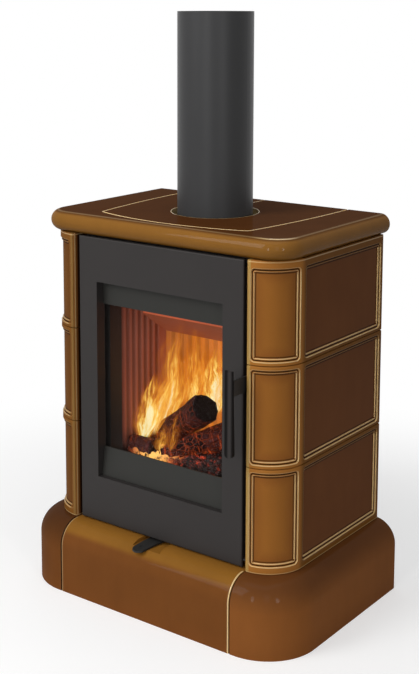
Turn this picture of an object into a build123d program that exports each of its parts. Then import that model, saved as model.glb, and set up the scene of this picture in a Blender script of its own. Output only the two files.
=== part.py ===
from build123d import *
import math
import os

# Tiled stove: a steel firebox with a glazed door, clad in glazed ceramic tiles on a ceramic base,
# under a ceramic top plate. Millimetres. +Z is up, the door faces -Y, and the origin is the middle
# of the base on the floor.

os.makedirs("parts", exist_ok=True)

# ---------------------------------------------------------------- driving dimensions
# Ceramic base
base_width = 644.0
base_depth = 417.0
base_height = 141.0
base_corner_radius = 107.0
base_bullnose = 46.0
base_wall = 22.0
base_front_flange = 85.0        # top flange, from the outer face inwards
base_side_flange = 84.0
base_side_front = 116.5         # front width of each side tile, its corner included
base_apron = 53.0               # front of the base ahead of the door
base_side_apron = 38.5          # side of the base outside the column
joint_rounding = 2.0
tile_joint = 1.0

# Ceramic column
column_half = base_width / 2 - base_side_apron
column_height = 585.0           # from the base to the top plate
tile_front_reach = 77.0         # from the side of the column to the opening for the door
column_corner_radius = 76.0
column_rear_step = 6.0          # rear of the base behind the tiles
tile_ahead_of_door = 5.0
tile_edge_x = column_half - tile_front_reach
tile_edge_rounding = 5.0
tile_wall = 26.0
tile_lip_width = 13.0
tile_lip_depth = 40.0
tile_rim_rounding = 2.0
lower_row_height = 199.5
middle_row_height = 191.0
rim_width = 8.5                 # upright rims
rim_height = 6.5                # rims along a joint
plinth_rim = 13.5               # lowest rim of the lower row
crown_rim = 14.5                # highest rim of the upper row
panel_split_angle = 80.0        # end of the corner panel on the corner arc
panel_step = 2.3
panel_ledge = 6.0
panel_corner = 8.0

# Ceramic top plate
top_side_overhang = 10.5
top_half_width = column_half + top_side_overhang
top_front_overhang = 11.0       # ahead of the door
top_underside = base_height + column_height
top_thickness = 40.0
top_corner_radius = 60.0
top_edge_land = 0.2             # flat left between the two roundings of the edge
top_seat_gap = 0.3
border_corner_width = 119.0
inset_corner_x = top_half_width - border_corner_width
inset_corner_back = 57.0        # behind the front of the plate
inset_front_sagitta = 29.0
border_rear_width = 95.4
inset_rear_x = top_half_width - border_rear_width
inset_side_sagitta = 7.4
inset_corner_radius = 12.0
inset_joint = 1.0
flue_hole_radius = 87.0
relief_slit_width = 1.6
plate_joint_rounding = 2.5

# Flue
flue_outer_radius = 75.0
flue_wall = 1.5
flue_axis_behind_door = 185.5
flue_above_plate = 394.0
flue_top = top_underside + top_thickness + flue_above_plate
collar_wall = 4.0
collar_play = 0.3
collar_height = 72.0
collar_flange_radius = 95.0
collar_flange_thickness = 6.0
pipe_above_flange = 4.0
collar_bolt_circle = 86.0
collar_bolt_radius = 3.0
collar_bolt_head_radius = 4.5
collar_bolt_head_height = 4.5

# Firebox
door_side_gap = 9.5             # between the door and the tiles
door_half = tile_edge_x - door_side_gap
shell_inset = 3.0               # side of the firebox inside the side of the door
shell_half = door_half - shell_inset
shell_above_base = 34.0
shell_bottom = base_height + shell_above_base
shell_below_plate = 26.0
shell_top = top_underside - shell_below_plate
shell_depth = 222.0
shell_wall = 4.0
frame_behind_door = 38.0        # front face of the front frame behind the door's front
frame_thickness = 6.0
frame_lap = 11.5                # of the front frame behind the tiles
frame_half = tile_edge_x + frame_lap
frame_above_base = 0.5
frame_bottom = base_height + frame_above_base
frame_below_plate = 5.8
frame_top = top_underside - frame_below_plate
throat_inset = 44.0
throat_half = shell_half - throat_inset
throat_above_base = 121.0
throat_bottom = base_height + throat_above_base
throat_below_plate = 114.0
throat_top = top_underside - throat_below_plate
throat_wall = 5.0
throat_depth = 29.0
ash_opening_inset = 30.0        # from the side of the throat
ash_opening_half = throat_half - ash_opening_inset
ash_opening_height = 51.0

# Firebox lining and hearth
lining_thickness = 29.5
lining_below_plate = 86.0
lining_top = top_underside - lining_below_plate
flute_pitch = 19.0
flute_radius = 7.5
flute_depth = 5.0
flute_start = 14.0              # first flute behind the front of a side lining
back_flute_pitch = 22.0
back_thickness = 29.0
hearth_above_base = 91.0
hearth_level = base_height + hearth_above_base
hearth_plate_thickness = 4.0
brick_thickness = 28.0
grate_length = 190.0
grate_width = 120.0
grate_thickness = 14.0
grate_slot_width = 10.0
grate_slot_pitch = 22.0
grate_rest = 8.0
lining_clearance = 0.3

# Ash pan
ash_pan_side_play = 8.0
ash_pan_half = ash_opening_half - ash_pan_side_play
ash_pan_height = 40.0
ash_pan_wall = 1.5
ash_pan_depth = 200.0
ash_pan_lip = 12.0

# Baffles
baffle_thickness = 14.0
baffle_front_back = 155.0       # front edge of the lower baffle behind the door
baffle_below_plate = 185.0      # front edge of the lower baffle
baffle_front_level = top_underside - baffle_below_plate
baffle_slope = 35.0
baffle_engagement = 10.0        # of the lower baffle's ends in the grooves of the side linings
ledge_width = 10.0
ledge_below_plate = 81.0
ledge_level = top_underside - ledge_below_plate
ledge_thickness = 4.0
upper_baffle_thickness = 5.0
upper_baffle_rear_gap = 45.0

# Logs: place of the low end, turn about Z, lift of the axis, length, radius at each end and turn
# of the section. The place is from the middle of the hearth and above the bricks.
log_places = (
    (-147.0, -50.0, 17.7, -4.0, 2.0, 62.0, 19.0, 20.0, 30.0),
    (-66.0, -57.0, 11.7, 39.0, 15.0, 178.7, 15.0, 37.0, 70.0),
    (-111.0, 11.0, 20.4, -14.0, 35.1, 162.0, 29.0, 34.0, 12.0),
)
log_outline = ((0, 1.0), (48, 0.93), (95, 1.0), (140, 0.9), (185, 0.98), (235, 0.92), (290, 0.97),
               (325, 0.93))

# Rear shield
shield_gap = 56.0               # behind the firebox
shield_thickness = 2.0
shield_above_base = 9.0
shield_bottom = base_height + shield_above_base
shield_below_plate = 5.8
shield_top = top_underside - shield_below_plate
shield_flange = 28.0
shield_clearance = 3.3
skirt_half = 200.0              # lower part of the shield, between the base tiles
skirt_bottom = 60.0
vent_count = 7
vent_pitch = 50.0
vent_width = 8.5
vent_height = 50.0
vent_inset = 50.0               # middle of a row of vents from the end of the shield
spacer_radius = 7.0
shield_screw_radius = 2.9
shield_screw_play = 0.3
spacer_inset = 44.0             # from the sides of the firebox
spacer_x = shell_half - spacer_inset
spacer_above_base = 99.0
spacer_low = base_height + spacer_above_base
spacer_below_plate = 86.0
spacer_high = top_underside - spacer_below_plate
clip_width = 30.0
clip_length = 24.0
seal_width = 8.0
seal_gap = 0.3

# Plinth
plinth_wall = 4.0
plinth_flange = 30.0
plinth_bar_height = 40.0
plinth_floor_gap = 22.0
foot_radius = 20.0
foot_height = 9.0
foot_stud_radius = 5.0
foot_stud_length = 46.0
foot_inset = 22.0
nut_radius = 9.0
nut_height = 8.0

# Top carrier
carrier_thickness = 5.0
carrier_side_play = 17.5
carrier_half = column_half - tile_wall - carrier_side_play
carrier_side_bar = 70.0
carrier_cross_bar = 23.0
carrier_leg = 20.0

# Door
door_above_base = 3.0
door_bottom = base_height + door_above_base
door_gap_to_plate = 3.0
door_skin = 5.0
door_edge_rounding = 3.0
door_return_wall = 4.0
door_depth = 22.0
door_back_thickness = 4.0
door_back_inset = 6.0
door_back_half = door_half - door_back_inset
door_end_step = 14.0            # ends of the leaf's box behind the skin's ends
door_stile = 45.5
window_half = door_half - door_stile
window_above_door = 93.5        # lower edge of the recess above the lower edge of the door
window_bottom = door_bottom + window_above_door
window_below_plate = 91.0
window_top = top_underside - window_below_plate
recess_wall = 4.0
head_plate_back = 19.0
head_plate_height = 47.0
head_plate_bottom = window_top - head_plate_height
panel_thickness = 3.0
panel_play = 0.5
sill_foot_back = 11.0
sill_height = 58.5
sill_top = window_bottom + sill_height
sill_foot_rise = 1.5
rope_width = 9.0
rope_side_play = 0.3
rope_inset = 13.3               # middle of the rope from the side of the door
rope_x = door_half - rope_inset
rope_end_inset = 12.0           # middle of the rope from the ends of the leaf's box
channel_rib = 2.3
channel_depth = 9.0
rope_gap = 0.3
rope_rounding = 3.0

# Window glass
glass_side_lap = 11.5
glass_half = window_half + glass_side_lap
glass_above_window = 44.5       # lower edge of the glass, behind the sill plate
glass_bottom = window_bottom + glass_above_window
glass_below_window = 34.0       # upper edge of the glass, behind the head plate
glass_top = window_top - glass_below_window
glass_thickness = 4.0
glass_seat = 3.0
glass_seal_width = 9.0
glass_clip_reach = 7.0
glass_clip_length = 17.0
glass_clip_height = 20.0
glass_clip_thickness = 2.0
glass_clip_play = 0.5
glass_seal_inset = 1.0
glass_clip_inset = 38.0         # middle of a clip from the end of the glass
glass_clip_levels = (glass_bottom + glass_clip_inset, (glass_bottom + glass_top) / 2,
                     glass_top - glass_clip_inset)
screw_radius = 2.5
screw_head_radius = 4.5
screw_head_height = 2.4

# Hinge
hinge_inset = 7.0
hinge_x = hinge_inset - door_half
hinge_behind_door = 12.0
hinge_plate_half = 5.0
hinge_plate_thickness = 6.0
hinge_pin_radius = 4.0
hinge_running_clearance = 0.05
hinge_washer_radius = 6.5
hinge_washer_thickness = 1.0
pin_below_plate = 0.5

# Handle
bar_width = 17.0
bar_beside_door = 6.0
bar_right = door_half + bar_beside_door
bar_front_ahead = 41.0          # front of the bar ahead of the door
bar_below_plate = 199.0
bar_top = top_underside - bar_below_plate
bar_length = 162.0
bar_bottom = bar_top - bar_length
bar_top_thickness = 3.5
bar_bottom_thickness = 8.5
bar_end_radius = 7.0
arm_thickness = 4.0
arm_below_bar_top = 47.0
arm_bottom = bar_top - arm_below_bar_top
arm_height = 29.0
arm_pivot_rise = 15.0
arm_pivot_level = arm_bottom + arm_pivot_rise
arm_pivot_behind_door = 14.0
tongue_behind_door = 32.5
tongue_drop = 9.0
pivot_radius = 4.0
pivot_shoulder_radius = 7.0
pivot_head_thickness = 2.2
pivot_side_play = 0.1
keeper_thickness = 6.0
keeper_height = 13.0
keeper_length = 11.0
latch_play = 0.3

# Air control
lever_x = -5.0                  # pivot, and the middle of the notch in the base tile
lever_pivot_behind_door = 60.0
lever_rest_angle = -6.0         # tip towards the left
lever_tip_ahead = 112.0         # ahead of the pivot
lever_root_width = 32.0
lever_tip_width = 27.0
lever_thickness = 3.5
lever_drop = 3.0                # of the tip below the root
lever_bend_ahead = 12.0         # start of the drop, ahead of the door
lever_rear_arm = 60.0
lever_rear_width = 16.0
lever_above_notch = 1.8
notch_width = 66.0
notch_depth = 6.5
lever_dimple_radius = 4.0
lever_dimple_back = 20.0
lever_dimple_depth = 0.8
drive_pin_radius = 3.0
drive_slot_play = 0.3
drive_slot_length = 14.0
lever_bolt_radius = 4.0
lever_bolt_head_radius = 8.0
lever_bolt_head = 4.0
lever_play = 0.2
box_boss_radius = 8.0
air_box_inset = 44.0
air_box_half = shell_half - air_box_inset
air_box_front_behind_door = 50.0
air_box_depth = 190.0
air_box_wall = 3.0
air_box_bottom_thickness = 2.0
air_box_above_base = 4.0
air_box_bottom = base_height + air_box_above_base
shutter_half = 92.0
shutter_width = 60.0
shutter_thickness = 2.0
shutter_play = 0.3
rail_width = 4.0
rail_lip = 4.0
rail_lip_thickness = 1.2
air_slot_length = 34.0
air_slot_width = 18.0
air_slot_pitch = 62.0

# ---------------------------------------------------------------- derived planes
over = 1.0                      # how far a cutter passes the face that it cuts
base_rear = base_depth / 2
base_front = -base_rear
door_front = base_front + base_apron
tile_front = door_front - tile_ahead_of_door
column_rear = base_rear - column_rear_step
top_front = door_front - top_front_overhang
top_face = top_underside + top_thickness
flue_y = door_front + flue_axis_behind_door
tile_top = top_underside - top_seat_gap

frame_front = door_front + frame_behind_door
frame_rear = frame_front + frame_thickness
shell_front = frame_rear
shell_rear = shell_front + shell_depth
shell_inner = shell_half - shell_wall
shell_rear_inner = shell_rear - shell_wall
shell_floor = shell_bottom + shell_wall
throat_rear = frame_rear + throat_depth

lining_front = throat_rear + lining_clearance
lining_outer = shell_inner - lining_clearance
lining_inner = lining_outer - lining_thickness
back_rear = shell_rear_inner - lining_clearance
back_front = back_rear - back_thickness
hearth_top = hearth_level + hearth_plate_thickness
brick_top = hearth_top + brick_thickness
hearth_middle = (lining_front + back_front) / 2

door_top = top_underside - door_gap_to_plate
door_back = door_front + door_depth
door_box_bottom = door_bottom + door_end_step
door_box_top = door_top - door_end_step
glass_front = door_back + glass_seat
glass_back = glass_front + glass_thickness

hinge_y = door_front + hinge_behind_door
lower_hinge_top = door_box_bottom - hinge_washer_thickness
lower_hinge_bottom = lower_hinge_top - hinge_plate_thickness
upper_hinge_bottom = door_box_top + hinge_washer_thickness
upper_hinge_top = upper_hinge_bottom + hinge_plate_thickness

pivot_y = door_front + arm_pivot_behind_door
lever_y = door_front + lever_pivot_behind_door
lever_bottom = base_height - notch_depth + lever_above_notch
lever_top = lever_bottom + lever_thickness
shutter_top = air_box_bottom - shutter_play
shutter_bottom = shutter_top - shutter_thickness
drive_x = lever_x - lever_rear_arm * math.sin(math.radians(lever_rest_angle))
drive_y = lever_y + lever_rear_arm * math.cos(math.radians(lever_rest_angle))
shutter_middle = drive_y


# ---------------------------------------------------------------- helpers
def block(x0, x1, y0, y1, z0, z1):
    """A box between two corners."""
    return Pos((x0 + x1) / 2, (y0 + y1) / 2, (z0 + z1) / 2) * Box(x1 - x0, y1 - y0, z1 - z0)


def rod(x, y, z0, z1, radius):
    """An upright cylinder."""
    return Pos(x, y, (z0 + z1) / 2) * Cylinder(radius, z1 - z0)


def rod_x(y, z, x0, x1, radius):
    """A cylinder along X."""
    return Pos((x0 + x1) / 2, y, z) * Rot(0, 90, 0) * Cylinder(radius, x1 - x0)


def rod_y(x, z, y0, y1, radius):
    """A cylinder along Y."""
    return Pos(x, (y0 + y1) / 2, z) * Rot(90, 0, 0) * Cylinder(radius, y1 - y0)


def mirrored(shape):
    """The same piece on the other side of the stove."""
    return mirror(shape, about=Plane.YZ)


def near(value, target):
    return abs(value - target) < 0.01


def save(name, *solids):
    """Writes one node, from one solid or from a group of separate solids."""
    found = [s for shape in solids for s in shape.solids()]
    shape = found[0] if len(found) == 1 else Compound(children=found)
    shape.label = name
    export_step(shape, f"parts/{name}.step")


def front_rounded(half_width, front, rear, radius):
    """Plan outline with two rounded front corners and square rear corners."""
    face = make_face(Polyline((-half_width, rear), (-half_width, front), (half_width, front),
                              (half_width, rear), close=True))
    corners = [v for v in face.vertices() if near(v.Y, front)]
    return fillet(corners, radius)


def ring(half_outer, half_inner, y0, y1, bottom_outer, bottom_inner, top_inner, top_outer):
    """An upright rectangular ring that faces the front."""
    outer = block(-half_outer, half_outer, y0, y1, bottom_outer, top_outer)
    return outer - block(-half_inner, half_inner, y0 - over, y1 + over, bottom_inner, top_inner)


# ---------------------------------------------------------------- ceramic base
def base_ring():
    """The whole base: a bullnosed wall with a top flange, open at the rear and inside."""
    outline = front_rounded(base_width / 2, base_front, base_rear, base_corner_radius)
    body = extrude(outline, base_height)
    rim = [e for e in body.edges() if near(e.center().Z, base_height) and not near(e.center().Y, base_rear)]
    body = fillet(rim, base_bullnose)
    hollow = extrude(front_rounded(base_width / 2 - base_wall, base_front + base_wall, base_rear + base_wall,
                                   base_corner_radius - base_wall), base_height - base_wall)
    hollow_rim = [e for e in hollow.edges()
                  if near(e.center().Z, base_height - base_wall) and e.center().Y < base_rear + base_wall / 2]
    hollow = fillet(hollow_rim, base_bullnose - base_wall)
    body -= hollow
    opening_half = base_width / 2 - base_side_flange
    opening_front = base_front + base_front_flange
    body -= block(-opening_half, opening_half, opening_front, base_rear + base_wall,
                  -over, base_height + over)
    return body


def rounded_joint(piece, x):
    """Rounds the outer edges of a base tile at its joint."""
    edges = [e for e in piece.edges() if near(e.center().X, x) and near(e.bounding_box().size.X, 0)]
    low = base_front + base_bullnose
    outer = [e for e in edges if e.center().Y < low and
             (near(e.center().Y, base_front) or e.geom_type == GeomType.CIRCLE and
              near(e.radius, base_bullnose))]
    return fillet(outer, joint_rounding)


whole_base = base_ring()
front_half = base_width / 2 - base_side_front
front_cut = block(-front_half, front_half, base_front - over, base_rear, -over, base_height + over)
base_tile_front = whole_base & front_cut
base_tile_front = rounded_joint(base_tile_front, front_half)
base_tile_front = rounded_joint(base_tile_front, -front_half)
notch_floor = base_height - notch_depth
base_tile_front -= block(lever_x - notch_width / 2, lever_x + notch_width / 2, base_front - over,
                         base_front + base_front_flange + over, notch_floor, base_height + over)
side_start = front_half + tile_joint
base_tile_right = whole_base & block(side_start, base_width, base_front - over, base_rear + over,
                                     -over, base_height + over)
base_tile_right = rounded_joint(base_tile_right, side_start)
save("base_tile_front", base_tile_front)
save("base_tile_right", base_tile_right)
save("base_tile_left", mirrored(base_tile_right))

# ---------------------------------------------------------------- ceramic column
corner_x = column_half - column_corner_radius
corner_y = tile_front + column_corner_radius


def corner_point(radius, angle):
    """A point on the corner arc, by its angle from the front towards the side."""
    turn = math.radians(angle)
    return (corner_x + radius * math.sin(turn), corner_y - radius * math.cos(turn))


def tile_plan():
    """Plan of a right-hand tile: a corner and a side in one wall, with a lip beside the door."""
    reach = corner_x - tile_edge_x
    start = (tile_edge_x, corner_y - math.sqrt(column_corner_radius ** 2 - reach ** 2))
    side_top = corner_point(column_corner_radius, 90)
    outline = [
        Line((tile_edge_x, column_rear), start),
        ThreePointArc(start, corner_point(column_corner_radius, 45), side_top),
        Line(side_top, (column_half, column_rear)),
        Line((column_half, column_rear), (tile_edge_x, column_rear)),
    ]
    outer = make_face(outline)
    edge_corner = [v for v in outer.vertices() if near(v.X, start[0]) and near(v.Y, start[1])]
    outer = fillet(edge_corner, tile_edge_rounding)
    hollow_right = column_half - tile_wall
    hollow_front = tile_front + tile_wall
    hollow_rear = column_rear + tile_wall
    hollow_left = tile_edge_x - tile_wall
    hollow = make_face(Polyline((hollow_left, hollow_rear), (hollow_left, hollow_front),
                                (hollow_right, hollow_front), (hollow_right, hollow_rear), close=True))
    hollow_corner = [v for v in hollow.vertices() if near(v.X, hollow_right) and near(v.Y, hollow_front)]
    hollow = fillet(hollow_corner, column_corner_radius - tile_wall)
    lip = Pos(tile_edge_x + tile_lip_width / 2, tile_front + tile_lip_depth / 2) * Rectangle(
        tile_lip_width, tile_lip_depth)
    return outer - hollow + (outer & lip)


def corner_panel(bottom, top, inset, depth):
    """The space cut from the corner for a panel, as wide as its inset leaves."""
    inner = column_corner_radius - depth
    first = math.degrees(math.asin((tile_edge_x + rim_width - corner_x) / column_corner_radius))
    turn = math.degrees(inset / column_corner_radius)
    far = 2 * column_corner_radius
    wedge = make_face(Polyline((corner_x, corner_y), corner_point(far, first + turn), corner_point(far, 45),
                               corner_point(far, panel_split_angle - turn), close=True))
    sector = (Pos(corner_x, corner_y) * (Circle(column_corner_radius + panel_ledge) - Circle(inner))) & wedge
    cutter = extrude(Pos(0, 0, bottom + inset) * sector, top - bottom - 2 * inset)
    corners = [e for e in cutter.edges().filter_by(GeomType.LINE) if near(e.bounding_box().size.Z, 0)]
    return fillet(corners, panel_corner - inset / 2)


def side_panel(bottom, top, inset, depth):
    """The space cut from the side for a panel."""
    front = corner_y + inset
    rear = column_rear - rim_width - inset
    low = bottom + inset
    high = top - inset
    cutter = block(column_half - depth, column_half + panel_ledge, front, rear, low, high)
    corners = [e for e in cutter.edges() if near(e.bounding_box().size.Y, 0) and
               near(e.bounding_box().size.Z, 0)]
    return fillet(corners, panel_corner - inset / 2)


def tile(bottom, top, low_rim, high_rim):
    """A right-hand tile with two panels, each recessed in two steps."""
    body = extrude(Pos(0, 0, bottom) * tile_plan(), top - bottom)
    rims = [e for e in body.edges()
            if near(e.bounding_box().size.Z, 0) and near(e.bounding_box().max.X, column_half)
            and not near(e.center().Y, column_rear)]
    body = fillet(rims, tile_rim_rounding)
    for step in (1, 2):
        inset = (step - 1) * panel_ledge
        body -= corner_panel(bottom + low_rim, top - high_rim, inset, step * panel_step)
        body -= side_panel(bottom + low_rim, top - high_rim, inset, step * panel_step)
    return body


lower_top = base_height + lower_row_height
middle_bottom = lower_top + tile_joint
middle_top = middle_bottom + middle_row_height
upper_bottom = middle_top + tile_joint
rows = {
    "lower": (base_height, lower_top, plinth_rim, rim_height),
    "middle": (middle_bottom, middle_top, rim_height, rim_height),
    "upper": (upper_bottom, tile_top, rim_height, crown_rim),
}
for row, sizes in rows.items():
    right_tile = tile(*sizes)
    save(f"tile_right_{row}", right_tile)
    save(f"tile_left_{row}", mirrored(right_tile))

# ---------------------------------------------------------------- ceramic top plate
inset_corner_y = top_front + inset_corner_back


def inset_plan(grown):
    """Plan of the inner plate, or of its opening in the border, which is wider all round."""
    corner = inset_corner_x + grown
    front = inset_corner_y - grown
    rear_x = inset_rear_x + grown
    face = make_face([
        SagittaArc((-corner, front), (corner, front), -inset_front_sagitta),
        SagittaArc((corner, front), (rear_x, base_rear), -inset_side_sagitta),
        Line((rear_x, base_rear), (-rear_x, base_rear)),
        SagittaArc((-rear_x, base_rear), (-corner, front), -inset_side_sagitta),
    ])
    corners = [v for v in face.vertices() if near(v.Y, front)]
    return fillet(corners, inset_corner_radius + grown)


top_border = extrude(Pos(0, 0, top_underside) * front_rounded(top_half_width, top_front, base_rear,
                                                             top_corner_radius), top_thickness)
top_edges = [e for e in top_border.edges()
             if near(e.bounding_box().size.Z, 0) and not near(e.center().Y, base_rear)]
top_border = fillet(top_edges, (top_thickness - top_edge_land) / 2)
opening = inset_plan(inset_joint)
top_border -= extrude(Pos(0, 0, top_underside - over) * opening, top_thickness + 2 * over)

top_inset = extrude(Pos(0, 0, top_underside) * inset_plan(0), top_thickness)
top_inset -= rod(0, flue_y, top_underside - over, top_face + over, flue_hole_radius)
top_inset -= block(-relief_slit_width / 2, relief_slit_width / 2, flue_y, base_rear + over,
                   top_underside - over, top_face + over)


def joint_edges(piece):
    """The upper edges on the joint between the border and the inner plate."""
    return [e for e in piece.edges()
            if near(e.bounding_box().size.Z, 0) and near(e.center().Z, top_face)
            and abs(e.center().X) < inset_rear_x + inset_joint + over
            and not near(e.bounding_box().min.Y, base_rear)
            and top_front + inset_corner_back - inset_front_sagitta - 2 * inset_joint < e.center().Y]


top_border = fillet(joint_edges(top_border), plate_joint_rounding)
outer_inset_edges = [e for e in joint_edges(top_inset)
                     if abs(e.center().X) > flue_hole_radius + over or e.center().Y < inset_corner_y]
top_inset = fillet(outer_inset_edges, plate_joint_rounding)
save("top_border", top_border)
save("top_inset", top_inset)

# ---------------------------------------------------------------- firebox
firebox_shell = block(-shell_half, shell_half, shell_front, shell_rear, shell_bottom, shell_top)
firebox_shell -= block(-shell_inner, shell_inner, shell_front - over, shell_rear_inner,
                       shell_floor, shell_top - shell_wall)
collar_outer = flue_outer_radius - flue_wall - collar_play
collar_bore = collar_outer - collar_wall
firebox_shell -= rod(0, flue_y, shell_top - shell_wall - over, shell_top + over, collar_bore)
for column in (-1, 0, 1):
    firebox_shell -= Pos(column * air_slot_pitch, shutter_middle, shell_bottom) * Box(
        air_slot_width, air_slot_length, 3 * shell_wall)
bolt_offset = collar_bolt_circle / math.sqrt(2)
bolt_places = [(x, y) for x in (-bolt_offset, bolt_offset) for y in (-bolt_offset, bolt_offset)]
for bolt_x, bolt_y in bolt_places:
    firebox_shell -= rod(bolt_x, flue_y + bolt_y, shell_top - shell_wall - over, shell_top + over,
                         collar_bolt_radius)
for x in (-spacer_x, spacer_x):
    for z in (spacer_low, spacer_high):
        firebox_shell -= rod_y(x, z, shell_rear_inner - over, shell_rear + over, shield_screw_radius)

front_frame = block(-frame_half, frame_half, frame_front, frame_rear, frame_bottom, frame_top)
throat_outer = throat_half + throat_wall
front_frame += block(-throat_outer, throat_outer, frame_front, throat_rear,
                     throat_bottom - throat_wall, throat_top + throat_wall)
front_frame -= block(-throat_half, throat_half, frame_front - over, throat_rear + over,
                     throat_bottom, throat_top)
front_frame -= block(-ash_opening_half, ash_opening_half, frame_front - over, frame_rear + over,
                     shell_floor, shell_floor + ash_opening_height)
save("front_frame", front_frame)
save("firebox_shell", firebox_shell)

hearth_plate = block(-shell_inner, shell_inner, shell_front, shell_rear_inner, hearth_level, hearth_top)
hearth_plate -= Pos(0, hearth_middle, hearth_level) * Box(
    grate_length - 2 * grate_rest, grate_width - 2 * grate_rest, 3 * hearth_plate_thickness)
save("hearth_plate", hearth_plate)

grate_level = hearth_top + grate_thickness / 2
grate = Pos(0, hearth_middle, grate_level) * Box(grate_length, grate_width, grate_thickness)
slot_count = int((grate_length - 2 * grate_slot_pitch) / grate_slot_pitch) + 1
for index in range(slot_count):
    slot_x = (index - (slot_count - 1) / 2) * grate_slot_pitch
    grate -= Pos(slot_x, hearth_middle, hearth_top) * Box(
        grate_slot_width, grate_width - 4 * grate_rest, 3 * grate_thickness)
save("grate", grate)

bricks_half = lining_inner - lining_clearance
bricks_front = lining_front
bricks_rear = back_front - lining_clearance
grate_half_x = grate_length / 2 + lining_clearance
grate_front = hearth_middle - grate_width / 2 - lining_clearance
grate_rear = hearth_middle + grate_width / 2 + lining_clearance
side_brick = block(grate_half_x, bricks_half, grate_front + lining_clearance, grate_rear - lining_clearance,
                   hearth_top, brick_top)
save("hearth_bricks",
     block(-bricks_half, bricks_half, bricks_front, grate_front, hearth_top, brick_top),
     block(-bricks_half, bricks_half, grate_rear, bricks_rear, hearth_top, brick_top),
     side_brick, mirrored(side_brick))

slope = math.radians(baffle_slope)
baffle_front_y = door_front + baffle_front_back
baffle_rear_y = back_front - lining_clearance
baffle_rise = baffle_thickness / math.cos(slope)


def baffle_profile(play):
    """Section of the lower baffle, or of its grooves, which leave a play all round."""
    front = baffle_front_y - play
    rear = baffle_rear_y + play
    front_level = baffle_front_level - play
    rear_level = front_level - (rear - front) * math.tan(slope)
    rise = baffle_rise + 2 * play
    return Plane.YZ * make_face(Polyline((front, front_level), (rear, rear_level),
                                         (rear, rear_level + rise), (front, front_level + rise), close=True))


baffle_half = lining_inner + baffle_engagement
groove_depth = baffle_engagement + lining_clearance

lining_right = block(lining_inner, lining_outer, lining_front, back_front - lining_clearance,
                     hearth_top, lining_top)
flute_count = int((back_front - lining_front - flute_start) / flute_pitch)
flute_offset = flute_radius - flute_depth
for index in range(flute_count):
    flute_y = lining_front + flute_start + index * flute_pitch
    lining_right -= rod(lining_inner - flute_offset, flute_y, hearth_top - over, lining_top + over,
                        flute_radius)
groove = extrude(baffle_profile(lining_clearance), groove_depth + over)
lining_right -= Pos(lining_inner - over, 0, 0) * groove
save("lining_right", lining_right)
save("lining_left", mirrored(lining_right))

lining_back = block(-lining_outer, lining_outer, back_front, back_rear, hearth_top, lining_top)
back_count = int(2 * lining_inner / back_flute_pitch)
for index in range(back_count):
    flute_x = (index - (back_count - 1) / 2) * back_flute_pitch
    lining_back -= rod(flute_x, back_front - flute_offset, hearth_top - over, lining_top + over, flute_radius)
save("lining_back", lining_back)

save("baffle_lower", Pos(-baffle_half, 0, 0) * extrude(baffle_profile(0), 2 * baffle_half))

ledge_right = block(shell_inner - ledge_width, shell_inner, lining_front, back_rear, ledge_level,
                    ledge_level + ledge_thickness)
save("baffle_ledges", ledge_right, mirrored(ledge_right))
upper_half = shell_inner - lining_clearance
upper_level = ledge_level + ledge_thickness
save("baffle_upper", block(-upper_half, upper_half, shell_front + lining_clearance,
                           shell_rear_inner - upper_baffle_rear_gap, upper_level,
                           upper_level + upper_baffle_thickness))

# ---------------------------------------------------------------- ash pan
pan_front = frame_front + lining_clearance
pan_bottom = shell_floor + lining_clearance
ash_pan = block(-ash_pan_half, ash_pan_half, pan_front, pan_front + ash_pan_depth,
                pan_bottom, pan_bottom + ash_pan_height)
ash_pan -= block(-ash_pan_half + ash_pan_wall, ash_pan_half - ash_pan_wall, pan_front + ash_pan_wall,
                 pan_front + ash_pan_depth - ash_pan_wall, pan_bottom + ash_pan_wall,
                 pan_bottom + ash_pan_height + over)
pan_rim = pan_bottom + ash_pan_height
ash_pan += block(-ash_pan_half / 3, ash_pan_half / 3, pan_front, pan_front + ash_pan_lip,
                 pan_rim - ash_pan_wall, pan_rim)
save("ash_pan", ash_pan)

# ---------------------------------------------------------------- logs
def log_end(along, radius, turn):
    """Section of a log at a distance along X."""
    points = [(radius * size * math.cos(math.radians(angle + turn)),
               radius * size * math.sin(math.radians(angle + turn))) for angle, size in log_outline]
    return Plane.YZ.offset(along) * make_face(Polyline(*points, close=True))


def log(x, y, z, heading, lift, length, low_radius, high_radius, turn):
    """A split log: an uneven billet that tapers, and rises from its low end."""
    billet = loft([log_end(0, low_radius, turn), log_end(length, high_radius, turn)], ruled=True)
    return Pos(x, hearth_middle + y, brick_top + z) * Rot(0, 0, heading) * Rot(0, -lift, 0) * billet


save("fire_logs", *[log(*place) for place in log_places])

# ---------------------------------------------------------------- flue
flue_collar = rod(0, flue_y, shell_top, shell_top + collar_flange_thickness, collar_flange_radius)
flue_collar += rod(0, flue_y, shell_top, shell_top + collar_height, collar_outer)
flue_collar -= rod(0, flue_y, shell_top - over, shell_top + collar_height + over, collar_bore)
for bolt_x, bolt_y in bolt_places:
    flue_collar -= rod(bolt_x, flue_y + bolt_y, shell_top - over, shell_top + collar_flange_thickness + over,
                       collar_bolt_radius)
save("flue_collar", flue_collar)


def collar_bolt(x, y):
    """A bolt through the collar's flange and the firebox top."""
    head_bottom = shell_top + collar_flange_thickness
    hexagon = RegularPolygon(collar_bolt_head_radius, 6)
    head = Pos(x, y, head_bottom) * extrude(hexagon, collar_bolt_head_height)
    return head + rod(x, y, shell_top - shell_wall, head_bottom, collar_bolt_radius)


save("collar_bolts", *[collar_bolt(x, flue_y + y) for x, y in bolt_places])
pipe_bottom = shell_top + collar_flange_thickness + pipe_above_flange
flue_pipe = rod(0, flue_y, pipe_bottom, flue_top, flue_outer_radius)
flue_pipe -= rod(0, flue_y, pipe_bottom - over, flue_top + over, flue_outer_radius - flue_wall)
save("flue_pipe", flue_pipe)

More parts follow.
